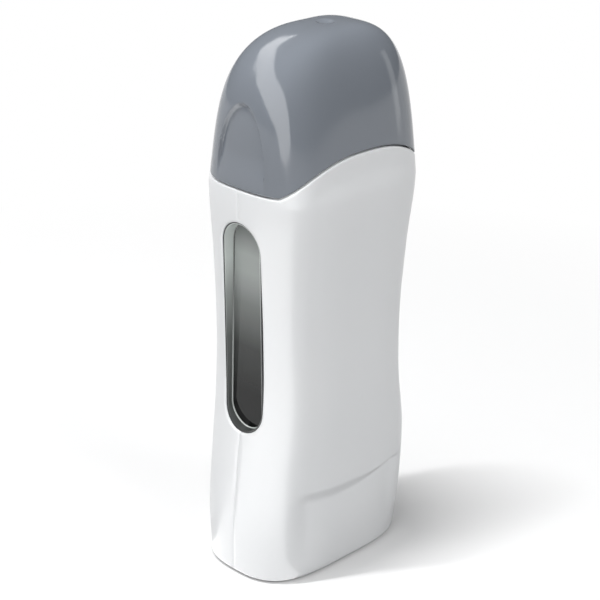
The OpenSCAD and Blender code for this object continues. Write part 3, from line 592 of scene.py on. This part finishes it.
openings = {
    "window": {"side": "front", "centre": (0, 89.45), "core": (0, 28.45), "radius": 8.6, "fillet": 0.7,
               "reach": (14.4, 47.5, 132.0), "inside": ((0, -28.7), (1.8, -28.7))},
    "inlet": {"side": "back", "centre": (0, 20.5), "core": (9.2, 5.7), "radius": 0.8, "fillet": 0.3,
              "reach": (13.4, 11.0, 30.0), "inside": ()},
    "indicator": {"side": "back", "centre": (0, 46), "core": (0, 0), "radius": 3.05, "fillet": 0.25,
                  "reach": (6.0, 40.5, 51.5), "inside": ((0, 30.0), (1.9, 30.0))},
}
screwSpots = ((-20, 8), (20, 8), (-20, 38), (20, 38))
for k, (x, z) in enumerate(screwSpots):
    openings["screw%d" % k] = {"side": "broad", "centre": (x, z), "core": (0, 0), "radius": 3.1,
                               "fillet": 0.3, "reach": (5.4, z - 4.6, z + 5.4),
                               "inside": ((0, -14.0), (-1.5, -14.0), (-1.5, -0.05), (1.4, -0.05))}


def patchPaths(spec, grid, columns, innerRow, lines, firstRow):
    # the cells that an opening takes up, and its outer and inner borders as lists of (column, row)
    reachU, low, high = spec["reach"]
    rowOf = lambda z: firstRow + min(range(len(lines)), key=lambda i: abs(lines[i] - z))
    middle = rowOf(spec["centre"][1])
    lowRow, highRow = rowOf(low), rowOf(high)
    cu = spec["centre"][0]
    if spec["side"] == "broad":
        inside = [c for c in range(columns) if abs(grid[c, middle].co.x - cu) <= reachU]
        first, last = min(inside), max(inside)
        border = ([(c, highRow) for c in range(first, last)]
                  + [(last, r) for r in range(highRow, lowRow, -1)]
                  + [(c, lowRow) for c in range(last, first, -1)]
                  + [(first, r) for r in range(lowRow, highRow)])
    else:
        front = spec["side"] == "front"
        inside = [c for c in range(columns) if (grid[c, middle].co.x < 0) == front
                  and abs(grid[c, middle].co.y) <= reachU]
        first, last = min(inside), max(inside)
        run = list(range(first, last + 1)) if front else list(range(last, first - 1, -1))
        end = run[-1]
        border = ([(c, highRow) for c in run[:-1]] + [(end, r) for r in range(highRow, lowRow, -1)]
                  + [(c, lowRow) for c in reversed(run)])
    cells = [(c, r) for c in range(first, last + 1) for r in range(lowRow, highRow + 1)]
    innerBorder = [(c, innerRow(r)) for c, r in border]
    innerCells = [(c, innerRow(r)) for c, r in cells]
    return border, cells, innerBorder, innerCells


def clearPatch(bm, grid, cells, border):
    # deletes the faces whose four corners lie in the patch
    chosen = {grid[cell] for cell in cells if cell in grid}
    faces = {f for v in chosen for f in v.link_faces if all(w in chosen for w in f.verts)}
    bmesh.ops.delete(bm, geom=list(faces), context="FACES")
    kept = set(border)
    for cell in cells:
        if cell not in kept and cell in grid and not grid[cell].is_valid:
            del grid[cell]


def makeOpening(bm, grid, spec, border, innerBorder):
    wall = shellSetup["wall"]
    closed = spec["side"] == "broad"
    count = len(border)
    dips = [0.0] * count
    if not closed:
        for i, (_, depth) in enumerate(shellSetup["seamColumns"]):
            dips[i] = dips[count - 1 - i] = depth
    inward = Vector((0, 1, 0)) if closed else Vector((1 if spec["side"] == "front" else -1, 0, 0))
    path = [grid[cell] for cell in border]
    starts = [sideCoords(spec, v.co) for v in path]
    fillet = spec["fillet"]
    goals = [closestOutline(u, v, spec, fillet) for u, v in starts]
    for share in (0.2, 0.4, 0.6, 0.78, 0.92, 1.0):
        places = []
        for (u, v), (gu, gv), dip in zip(starts, goals, dips):
            p = sidePoint(spec, u + (gu - u) * share, v + (gv - v) * share, 0)
            places.append(p + inward * dip)
        path = extrudeTo(bm, path, places, closed)
    for degrees in (22, 45, 67, 90):
        a = math.radians(degrees)
        places = []
        for (u, v), dip in zip(starts, dips):
            gu, gv = closestOutline(u, v, spec, fillet * (1 - math.sin(a)) + dip * math.sin(a))
            surface = sidePoint(spec, *closestOutline(u, v, spec, fillet * (1 - math.sin(a))), 0)
            p = Vector((gu, surface.y, gv)) if closed else Vector((surface.x, gu, gv))
            places.append(p + inward * (fillet * (1 - math.cos(a)) + dip * math.cos(a)))
        path = extrudeTo(bm, path, places, closed)
    for grow, plane in spec["inside"]:
        places = []
        for (u, v), dip in zip(starts, dips):
            gu, gv = closestOutline(u, v, spec, grow + (dip if grow == 0 else 0))
            places.append(Vector((gu, plane, gv)) if closed else Vector((plane, gu, gv)))
        path = extrudeTo(bm, path, places, closed)
    innerPath = [grid[cell] for cell in innerBorder]
    innerStarts = [sideCoords(spec, v.co) for v in innerPath]
    lastGrow = spec["inside"][-1][0] if spec["inside"] else 0
    for share in (0.0, 0.5):
        places = []
        for (u, v), (iu, iv) in zip(starts, innerStarts):
            gu, gv = closestOutline(u, v, spec, lastGrow)
            places.append(sidePoint(spec, gu + (iu - gu) * share, gv + (iv - gv) * share, wall))
        path = extrudeTo(bm, path, places, closed)
    path = extrudeTo(bm, path, [v.co.copy() for v in innerPath], closed)
    bmesh.ops.weld_verts(bm, targetmap=dict(zip(path, innerPath)))


def makeShell(name, node, far):
    rows, inner, lines = shellRows()
    everyRow = rows + inner
    seam = shellSetup["seamColumns"]
    # columns: the groove's at both seams, and the rest spread by turn
    columns = len(halfTurns) - 2 + 2 * len(seam)
    firstRow = 7
    lastRow = len(everyRow) - 1

    def place(column, row):
        line, inset = everyRow[row]
        wallInset = min(inset, shellSetup["wall"])
        if column < len(seam) or column >= columns - len(seam):
            k = column if column < len(seam) else columns - 1 - column
            y, dip = seam[k]
            turn = seamTurn(y, line, wallInset)
            front = column < len(seam)
            p = skinPoint(turn if front else math.pi - turn, line, wallInset)
            if row < len(rows) - 1:
                p.x += dip if front else -dip
            return p
        low = seamTurn(seam[-1][0], line, wallInset)
        turn = low + (math.pi - 2 * low) * halfTurns[column - len(seam) + 1] / math.pi
        return skinPoint(turn, line, wallInset)

    bm, grid = layGrid(columns, len(everyRow), place)
    chosen = [key for key in openings if far or not key.startswith("screw")]
    innerRow = lambda r: lastRow - 1 - (r - firstRow)
    plans = [(openings[key], patchPaths(openings[key], grid, columns, innerRow, lines, firstRow))
             for key in chosen]
    for _, (border, cells, innerBorder, innerCells) in plans:
        clearPatch(bm, grid, cells, border)
        clearPatch(bm, grid, innerCells, innerBorder)
    for spec, (border, _, innerBorder, _) in plans:
        makeOpening(bm, grid, spec, border, innerBorder)
    for row in (0, lastRow):
        ends = [grid[c, row] for c in range(columns)]
        bmesh.ops.contextual_create(bm, geom=[bm.edges.get(pair) for pair in zip(ends, ends[1:])])
    loose = [v for v in bm.verts if not v.link_faces]
    bmesh.ops.delete(bm, geom=loose, context="VERTS")
    border = [e for e in bm.edges if e.is_boundary]
    bmesh.ops.holes_fill(bm, edges=border, sides=0)
    left = sum(not e.is_manifold for e in bm.edges)
    if far:
        bmesh.ops.scale(bm, vec=(1, -1, 1), verts=bm.verts[:])
    print(name, "edges left open:", left)
    finishPiece(name, bm, "housing", "shellWhite", node)


makeShell("housing_near", "near_shell", False)
makeShell("housing_far", "far_shell", True)

# collar: the neck that the cap slides over, its low ribs, the deck and the mouth of the well
collarSetup = {"low": 131.0, "top": 142.8, "inset": 2.4, "wall": 1.6, "rimRound": 0.5, "deckLow": 134.0,
               "deckHigh": 136.0, "mouth": (51.8, 30.0, 10.0), "lipRound": 0.7, "ribBroad": (-14, 14),
               "ribNarrow": (-11.5, 11.5), "ribWidth": 1.2, "ribHeight": 0.3, "ribLow": 138.6,
               "ribHigh": 142.0}


def atHeight(turn, z, inset):
    mid, half = midAndHalf(z, inset)
    x = mid - half * signedPow(math.cos(turn), 2 / form["sharpX"])
    return skinPoint(turn, lineThrough(z, x), inset)


def mouthPoint(direction, grow, z):
    # where this direction leaves the rounded outline of the mouth
    width, depth, radius = collarSetup["mouth"]
    near, far = 0.0, 60.0
    for _ in range(40):
        reach = (near + far) / 2
        past = Vector((max(abs(direction.x) * reach - width / 2 + radius, 0),
                       max(abs(direction.y) * reach - depth / 2 + radius, 0)))
        near, far = (near, reach) if past.length > radius + grow else (reach, far)
    return Vector((direction.x * near, direction.y * near, z))


def ribRings(side, place):
    s = collarSetup
    w, h = s["ribWidth"] / 2, s["ribHeight"]
    profile = ((-w, -0.3), (-w, 0.4 * h), (-0.6 * w, h), (0.6 * w, h), (w, 0.4 * h), (w, -0.3))
    levels = ((s["ribLow"], -0.5), (s["ribLow"] + 0.25, 1), (s["ribHigh"] - 0.25, 1), (s["ribHigh"], -0.5))
    for line, rise in levels:
        yield [place(side + u, line, v if v < 0 else v * rise) for u, v in profile]


def makeCollar():
    s = collarSetup
    half = overHalf(quarterTurns(44))
    turns = half + [2 * math.pi - a for a in reversed(half[1:-1])]
    outer, inner, r = s["inset"], s["inset"] + s["wall"], s["rimRound"]

    def level(z, inset):
        return [atHeight(t, z, inset) for t in turns]

    def below(drop, inset, floor=None, share=0.0):
        # this far under the arched rim; with a share, that much of the way on down to a level floor
        ring = []
        for t in turns:
            z = skinPoint(t, s["top"], inset).z - drop
            ring.append(atHeight(t, z + (floor - z) * share if floor else z, inset))
        return ring

    def mouth(grow, z):
        return [mouthPoint(Vector((p.x, p.y)).normalized(), grow, z) for p in level(s["deckHigh"], inner)]

    rings = [level(s["low"], outer + 0.25), level(s["low"] + 0.25, outer)]
    rings += [below(r, outer, s["low"], share) for share in (0.75, 0.5, 0.25)]
    rings += [below(back, outer + inset) for back, inset in roundEdge(r)]
    rings += [below(back, inner - inset) for back, inset in reversed(roundEdge(r))]
    rings += [below(r, inner, s["deckHigh"], 0.5)]
    deck = s["deckHigh"]
    rings += [level(deck + 0.4, inner), level(deck + 0.12, inner + 0.12), level(deck, inner + 0.4)]
    rings += [mouth(back, deck - drop) for back, drop in roundEdge(s["lipRound"])]
    rings += [mouth(0, s["deckLow"] + 0.2), mouth(0.2, s["deckLow"])]
    rings += [level(s["deckLow"], inner + 0.2), level(s["deckLow"] - 0.2, inner), level(s["low"], inner)]
    bm = bmesh.new()
    loft(bm, rings, endless=True)
    for x in s["ribBroad"]:
        for sign in (1, -1):
            def onBroad(x, line, rise, sign=sign):
                p = broadPoint(x, bent(line, x), outer - rise)
                return Vector((p.x, sign * p.y, p.z))
            loft(bm, list(ribRings(x, onBroad)))
    for y in s["ribNarrow"]:
        for front in (True, False):
            loft(bm, list(ribRings(y, lambda y, line, rise: narrowPoint(y, line, outer - rise, front))))
    finishPiece("collar_neck", bm, "housing", "collarWhite", "collar")


makeCollar()

# fittings on the back and underneath
fittings = {
    "inletPlace": (0, 20.5), "inletBack": 14.0, "inletFace": 33.2, "inletBody": (19.6, 12.6, 1.0),
    "inletFlange": (25.0, 27.0, 23.0, 14.8), "socket": (16.6, 9.2), "socketFloor": 20.7,
    "pinPitch": 8.6, "pinRadius": 1.2, "pinRoot": 1.45, "pinTip": 31.0,
    "lampHeight": 46, "lensRadius": 3.0, "lensFlange": 29.7, "lensFace": 34.1, "lensDome": 0.75,
    "screwSeat": 14.0, "screwHead": 2.9, "screwShaft": 1.45, "screwTip": -7.0, "cross": (3.8, 0.8, 1.2),
    "feet": ((-23, 11), (23, 11), (-23, -11), (23, -11)), "footRadius": 4.0, "footHeight": 2.0,
}


def makeInlet():
    f = fittings
    y, z = f["inletPlace"]
    w, d, r = f["inletBody"]
    low, high, fw, fd = f["inletFlange"]
    sw, sd = f["socket"]
    face, back, floor = f["inletFace"], f["inletBack"], f["socketFloor"]
    # stations of (place, width, height, corner radius) from the back over the flange and into the socket
    stations = [(back, w - 0.6, d - 0.6, r - 0.3), (back + 0.3, w, d, r), (low, w, d, r),
                (low, fw - 0.4, fd - 0.4, r), (low + 0.2, fw, fd, r + 0.4), (high - 0.2, fw, fd, r + 0.4),
                (high, fw - 0.4, fd - 0.4, r), (high, w, d, r), (face - 0.6, w, d, r)]
    bend = (30, 60, 90)
    stations += [(face - before, w - 2 * inset, d - 2 * inset, r) for before, inset in roundEdge(0.6, bend)]
    stations += [(face - before, sw + 2 * inset, sd + 2 * inset, sd / 2 + 0.975 * inset - 0.01)
                 for before, inset in reversed(roundEdge(0.4, bend))]
    stations += [(face - 0.5, sw, sd, sd / 2 - 0.01), (floor + 0.3, sw, sd, sd / 2 - 0.01),
                 (floor, sw - 0.6, sd - 0.6, sd / 2 - 0.31)]
    bm = bmesh.new()
    loft(bm, [[Vector((x, y + p.x, z + p.y)) for p in roundRectRing(wide, deep, radius)]
              for x, wide, deep, radius in stations])
    finishPiece("inlet_socket", bm, "housing", "inletBlack", "power_inlet")
    bm = bmesh.new()
    root, pin, tip = f["pinRoot"], f["pinRadius"], f["pinTip"]
    for side in (-1, 1):
        middle = y + side * f["pinPitch"] / 2
        rounded = [(tip - back, pin - inset) for back, inset in roundEdge(0.8)]
        stations = [(13.0, root - 0.15), (13.15, root), (floor + 0.05, root), (floor + 0.15, root - 0.1),
                    (floor + 0.15, pin)]
        barrel(bm, stations + rounded, (1, 0, 0), (0, middle, z), 40)
        addBlock(bm, (7, middle - 0.4, z - 2.4), (13.2, middle + 0.4, z + 2.4))
    finishPiece("inlet_pin_pair", bm, "housing", "pinMetal", "inlet_pins")


def makeIndicator():
    f = fittings
    r, low, face = f["lensRadius"], f["lensFlange"], f["lensFace"]
    dome = [(face + f["lensDome"] * math.sin(math.radians(a)), r * math.cos(math.radians(a)))
            for a in range(0, 90, 10)] + [(face + f["lensDome"], 0)]
    flange = [(low, r + 1.05), (low + 0.15, r + 1.2), (low + 0.85, r + 1.2), (low + 1, r + 1.05),
              (low + 1, r)]
    bm = bmesh.new()
    barrel(bm, flange + dome, (1, 0, 0), (0, 0, f["lampHeight"]), 56)
    finishPiece("indicator_dome", bm, "housing", "lensRed", "indicator_lens")


def makeScrews():
    f = fittings
    seat, head, shaft, tip = f["screwSeat"], f["screwHead"], f["screwShaft"], f["screwTip"]
    long, wide, deep = f["cross"]
    top = seat + 2.2
    bm, cutter = bmesh.new(), bmesh.new()
    for x, z in screwSpots:
        stations = [(tip, shaft - 0.4), (tip + 0.4, shaft), (seat, shaft), (seat, head - 0.15),
                    (seat + 0.15, head)] + [(top - back, head - inset) for back, inset in roundEdge(1.0)]
        barrel(bm, stations, (0, 1, 0), (x, 0, z), 40)
        for w, d in ((long, wide), (wide, long)):
            addBlock(cutter, (x - w / 2, top - deep, z - d / 2), (x + w / 2, top + 1, z + d / 2), 0.12)
    bm = cutAway(bm, cutter)
    finishPiece("case_screws", bm, "housing", "plateMetal", "housing_screws")


def makeFeet():
    f = fittings
    r, high = f["footRadius"], f["footHeight"]
    bm = bmesh.new()
    for x, y in f["feet"]:
        barrel(bm, [(0, r - 0.6), (0.05, r - 0.36), (0.2, r - 0.14), (0.42, r - 0.03), (0.65, r), (high, r)],
               (0, 0, 1), (x, y, 0), 48)
    finishPiece("rubber_feet", bm, "housing", "feetRubber", "feet")


makeInlet()
makeIndicator()
makeScrews()
makeFeet()

# cap
capSetup = {"wall": 2.0, "rimRound": 0.45, "dimpleX": 2.5, "dimpleRadius": 6, "dimpleDepth": 0.8,
            "stops": ((-32.7, -30.8, -30.8), (29.6, 31.35, 29.6)), "stopTop": 152}


def crownHeight(degrees, inset):
    # height reached after this turn over the crown
    span = form["height"] - form["crownFoot"] - inset
    return form["crownFoot"] + span * math.sin(math.radians(degrees)) ** (2 / form["frontCrown"][0])


def capRows():
    low = form["joint"] + form["jointGap"] / 2
    r, wall = capSetup["rimRound"], capSetup["wall"]
    rows = [(low + back, inset) for back, inset in reversed(roundEdge(r))]
    rows += [(z, 0.0) for z in frange(low + r + 0.5, 167, 0.55)]
    crownTurns = [24.5 + (83 - 24.5) * i / 44 for i in range(44)] + [83 + 7 * i / 16 for i in range(17)]
    rows += [(crownHeight(a, 0), 0.0) for a in crownTurns]
    inner = [(low, wall - 0.25), (low + 0.25, wall)]
    inner += [(z, wall) for z in frange(low + 1.0, 165, 2.0)]
    inner += [(crownHeight(22 + 68 * i / 24, wall), wall) for i in range(25)]
    return inner[::-1] + rows


def makeCap():
    rows = capRows()
    half = overHalf(quarterTurns(72, 5.0))
    turns = half + [2 * math.pi - a for a in reversed(half[1:-1])] + [2 * math.pi]
    dx, dr, dd = capSetup["dimpleX"], capSetup["dimpleRadius"], capSetup["dimpleDepth"]

    def place(column, row):
        z, inset = rows[row]
        full = form["recessDepth"] * (1 if inset < 1 else smooth(z, 145, 154))
        p = skinPoint(turns[column], z, inset, full)
        if inset == 0 and z > 180:
            away = math.hypot(p.x - dx, p.y)
            if away < dr:
                p.z = min(p.z, form["height"] + dr - dd - math.sqrt(dr * dr - away * away))
        return p

    bm, _ = layGrid(len(turns), len(rows), place)
    bmesh.ops.remove_doubles(bm, verts=bm.verts[:], dist=0.0005)
    # stops inside that rest on the collar's rim
    for near, far, facing in capSetup["stops"]:
        foot = bent(collarSetup["top"], facing) + 0.15
        addBlock(bm, (near, -1, foot), (far, 1, capSetup["stopTop"]), 0.2)
    finishPiece("cap_shell", bm, "cap", "capGrey", "cap")


makeCap()

# window: pane and gasket
windowSetup = {"low": 61.0, "high": 117.9, "seat": -28.7, "seal": 0.4, "pane": 1.3, "sunk": 0.55, "lip": 2.8,
               "radius": 8.6, "play": 0.15, "lipWidth": 0.3, "lipSunk": 0.62, "rimWidth": 0.4,
               "edgeWidth": 0.4}


def slotRing(radius, sunk):
    # ring round the window opening, this far below the outer surface
    ring = []
    for p in stadiumRing(0, radius, windowSetup["low"], windowSetup["high"]):
        ring.append(narrowPoint(p.y, p.z, 0, True) + Vector((sunk, 0, 0)))
    return ring


def loftSlot(bm, stations, endless=False):
    # upright slot outlines in planes: stations of (x, radius)
    loft(bm, [stadiumRing(x, r, windowSetup["low"], windowSetup["high"]) for x, r in stations], endless)


def makeWindow():
    s = windowSetup
    inner = s["radius"] - s["play"]
    flange = s["radius"] + s["lip"]
    front = s["seat"] + s["sunk"]
    lipX = s["seat"] + s["seal"]
    backX = lipX + s["pane"]
    stations = [(backX, flange - 0.3), (backX - 0.15, flange), (lipX + 0.1, flange), (lipX, flange - 0.15),
                (lipX, inner + 0.1), (lipX + 0.1, inner), (front - 0.02, inner - 0.04), (front, inner - 0.1)]
    stations += [(front - 0.02, inner - 1.5), (front - 0.06, inner - 3.5)]
    bm = bmesh.new()
    loftSlot(bm, stations)
    # the pane's colour carries a painted reflection and a painted shade by height
    finishPiece("window_pane", bm, "housing", "smokedLensPaintedLight", "window_lens")
    bm = bmesh.new()
    rings = [(s["seat"] + 0.05, flange - 0.05), (s["seat"], flange - 0.12), (s["seat"], s["radius"] + 0.1),
             (s["seat"] + 0.1, s["radius"]), (lipX, s["radius"]), (lipX, flange - 0.05)]
    loftSlot(bm, rings, endless=True)
    # thin lip that runs out along the side of the opening
    lip = s["radius"] - s["lipWidth"]
    inside = [stadiumRing(s["seat"] - 0.05, r, s["low"], s["high"]) for r in (lip, s["radius"] - 0.01)]
    outside = [slotRing(s["radius"] - 0.01, s["lipSunk"]), slotRing(lip, s["lipSunk"] + 0.02)]
    loft(bm, [*inside, *outside], endless=True)
    finishPiece("window_gasket", bm, "housing", "softBlack", "window_seal")
    # rim inside that lip, part of the pane's moulding; its colour is painted shade low down and painted light
    # higher up
    bm = bmesh.new()
    outer, inner, sunk = lip - 0.02, lip - s["rimWidth"], s["lipSunk"] + 0.15
    bead = [(outer, sunk + 0.15), (outer - 0.06, sunk + 0.04), ((outer + inner) / 2, sunk),
            (inner + 0.06, sunk + 0.04), (inner, sunk + 0.15)]
    backs = [stadiumRing(front + 0.3, r, s["low"], s["high"]) for r in (inner, outer)]
    loft(bm, [backs[1]] + [slotRing(r, depth) for r, depth in bead] + [backs[0]], endless=True)
    finishPiece("window_rim", bm, "housing", "windowRimPaintedShading", None)
    # polished edge of the pane in front of its face; its colour is a painted highlight low down and painted
    # shade towards the top
    bm = bmesh.new()
    outer, width = inner - 0.02, s["edgeWidth"]
    edge = [(front + 0.12, outer), (front - 0.3, outer), (front - 0.38, outer - 0.1),
            (front - 0.3, outer - width / 2), (front + 0.12, outer - width)]
    loftSlot(bm, edge, endless=True)
    finishPiece("window_edge", bm, "housing", "windowEdgePaintedHighlight", None)


makeWindow()

# floor, light and surroundings; directions are (azimuth, elevation) from the object, sizes in metres
studio = {
    # long narrow lamp overhead: gives the short shadow with straight sides
    "bar": {"toward": (-116, 77), "distance": 1.54, "size": (0.04, 0.65), "strength": 200, "glossy": False},
    "fill": {"toward": (8, 40), "distance": 1.6, "size": (1.0, 0.8), "strength": 3.5, "glossy": False},
    # gives the faint streak near the back edge of the cap
    "streak": {"toward": (62, 6), "distance": 1.6, "size": (0.2, 0.6), "strength": 1.0, "diffuse": False},
}
# curved panel that lights the front; the corner of the cap mirrors it as one long winding highlight.
# Its two borders run from the back end over the left side to the foot in front, as directions from the cap
panel = {
    "radius": 1.2, "centre": (-0.02, -0.01, 0.155), "mirrored": 4.2, "light": 2.25,
    "upper": ((144, 37), (154, 43), (168, 48), (191, 54), (210, 55), (234, 54), (260, 49), (289, 41),
              (311, 29), (322, 18), (328, 11), (330, 5), (331, 2), (330, -1), (324, -4), (316, -6)),
    "lower": ((143, 35), (149, 38), (160, 42), (175, 43), (197, 43), (214, 35), (227, 26), (243, 21),
              (257, 15), (270, 10), (280, 6), (292, 2), (298, -2), (300, -5), (302, -7), (314, -7)),
}
# low card in front that only glossy surfaces mirror: the soft bright band down the corner of the housing
card = {"from": -122, "to": -44, "near": 0.03, "far": 0.29, "height": 0.001, "mirrored": 3.6}
room = {"strength": 0.16, "floorColour": 0.87, "bounceColour": 0.36, "whiteFrom": 0.13, "whiteAt": 0.36}
aimHeight = 0.1


def addLamp(name, setup):
    away = directionAt(*setup["toward"])
    data = bpy.data.lights.new(name, "AREA")
    data.shape = "RECTANGLE"
    data.size, data.size_y = setup["size"]
    # strength is the brightness of the lamp's face
    data.energy = setup["strength"] * math.pi * data.size * data.size_y
    lamp = bpy.data.objects.new(name, data)
    place = away * setup["distance"] + Vector((0, 0, aimHeight))
    lamp.matrix_world = Matrix.Translation(place) @ away.to_track_quat("Z", "Y").to_matrix().to_4x4()
    lamp.visible_camera = False
    lamp.visible_diffuse = setup.get("diffuse", True)
    lamp.visible_glossy = setup.get("glossy", True)
    scene.collection.objects.link(lamp)


def makePanel(setup, use):
    # one of two like panels: the one that glossy surfaces mirror, or the one that gives light
    borders = (setup["lower"], setup["upper"])
    centre = Vector(setup["centre"])
    bm, _ = layGrid(2, len(setup["upper"]),
                    lambda column, row: centre + directionAt(*borders[column][row]) * setup["radius"])
    stageGlow(bm, setup[use], use)


def makeCard(setup):
    steps = 12

    def place(column, row):
        turn = setup["from"] + (setup["to"] - setup["from"]) * row / steps
        reach = setup["far"] if column else setup["near"]
        return directionAt(turn, 0) * reach + Vector((0, 0, setup["height"]))

    bm, _ = layGrid(2, steps + 1, place)
    stageGlow(bm, setup["mirrored"], "mirrored")


def stageGlow(bm, strength, use):
    lit = addObject("lampPanel", bm)
    material, tree, _, _ = newMaterial("panel light")
    glow = addNode(tree, "Emission", {"Strength": strength})
    tree.links.new(glow.outputs["Emission"], tree.nodes["Material Output"].inputs["Surface"])
    lit.data.materials.append(material)
    lit.visible_camera = lit.visible_shadow = False
    lit.visible_diffuse = use == "light"
    lit.visible_glossy = use == "mirrored"


def makeFloor(setup):
    bm = bmesh.new()
    bmesh.ops.create_grid(bm, x_segments=1, y_segments=1, size=6)
    floor = addObject("floor", bm)
    material, tree, shader, coords = newMaterial("pale floor")
    shown, bounce = setup["floorColour"], setup["bounceColour"]
    shader.inputs["Roughness"].default_value = 0.9
    shader.inputs["Specular IOR Level"].default_value = 0.0
    shader.inputs["Base Color"].default_value = (shown, shown, shown, 1)
    # what the eye and mirrors see is white: lit near the object, plain white farther off, where the lamps
    # don't reach. What lights the object from below is a little darker
    dull = addNode(tree, "BsdfDiffuse", {"Color": (bounce, bounce, bounce, 1)})
    white = addNode(tree, "Emission", {"Strength": 1.0})
    distance = addNode(tree, "VectorMath")
    distance.operation = "LENGTH"
    tree.links.new(coords, distance.inputs[0])
    away = addRange(tree, distance.outputs["Value"], 0.0, 1.0, setup["whiteFrom"], setup["whiteAt"])
    seen = mixShaders(tree, away, shader.outputs["BSDF"], white.outputs["Emission"])
    both = mixShaders(tree, eyeRays(tree), dull.outputs["BSDF"], seen)
    tree.links.new(both, tree.nodes["Material Output"].inputs["Surface"])
    floor.data.materials.append(material)


def mixShaders(tree, share, first, second):
    mix = addNode(tree, "MixShader", Fac=share)
    tree.links.new(first, mix.inputs[1])
    tree.links.new(second, mix.inputs[2])
    return mix.outputs["Shader"]


def eyeRays(tree):
    # 1 for camera, mirrored and refracted rays, 0 for the rays that only carry light
    path = addNode(tree, "LightPath")
    total = path.outputs["Is Camera Ray"]
    for kind in ("Is Glossy Ray", "Is Transmission Ray"):
        most = addNode(tree, "Math")
        most.operation = "MAXIMUM"
        tree.links.new(total, most.inputs[0])
        tree.links.new(path.outputs[kind], most.inputs[1])
        total = most.outputs["Value"]
    return total


def makeWorld(strength):
    world = bpy.data.worlds.new("studio")
    scene.world = world
    world.use_nodes = True
    tree = world.node_tree
    tree.nodes.clear()
    around = addNode(tree, "Background", {"Color": (0.96, 0.98, 1.0, 1), "Strength": strength})
    tree.links.new(around.outputs["Background"], addNode(tree, "OutputWorld").inputs["Surface"])


for lampName, lampSetup in studio.items():
    addLamp(lampName, lampSetup)
makePanel(panel, "mirrored")
makePanel(panel, "light")
makeCard(card)
makeFloor(room)
makeWorld(room["strength"])
scene.view_settings.view_transform = "Standard"
print("studio ready")

# finishes of the CAD parts
keptNodes = {
    "silicone": ("mouth_seal",), "wellMetal": ("chamber_tube", "chamber_floor"),
    "darkPart": ("chamber_cradle",), "film": ("near_insulator", "far_insulator"),
    "heaterBody": ("near_heater", "far_heater"), "blockPlastic": ("terminal_block",),
    "plateMetal": ("near_spring", "far_spring", "terminal_screws", "block_screws", "housing_screws"),
    "pinMetal": ("thermal_fuse", "inlet_pins"), "sleeve": ("fuse_sleeve", "lamp_resistor"),
    "brass": ("terminal_tubes",), "leadBrown": ("supply_leads",),
    "leadWhite": ("fuse_leads", "near_heater_leads", "far_heater_leads", "lamp_leads"),
    "lampGlass": ("indicator_lamp",), "collarWhite": ("collar",), "inletBlack": ("power_inlet",),
    "lensRed": ("indicator_lens",), "feetRubber": ("feet",),
}
for finish, nodeNames in keptNodes.items():
    for nodeName in nodeNames:
        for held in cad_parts[nodeName].material_slots:
            held.material = finishes[finish]
print("finishes on the CAD parts ready")
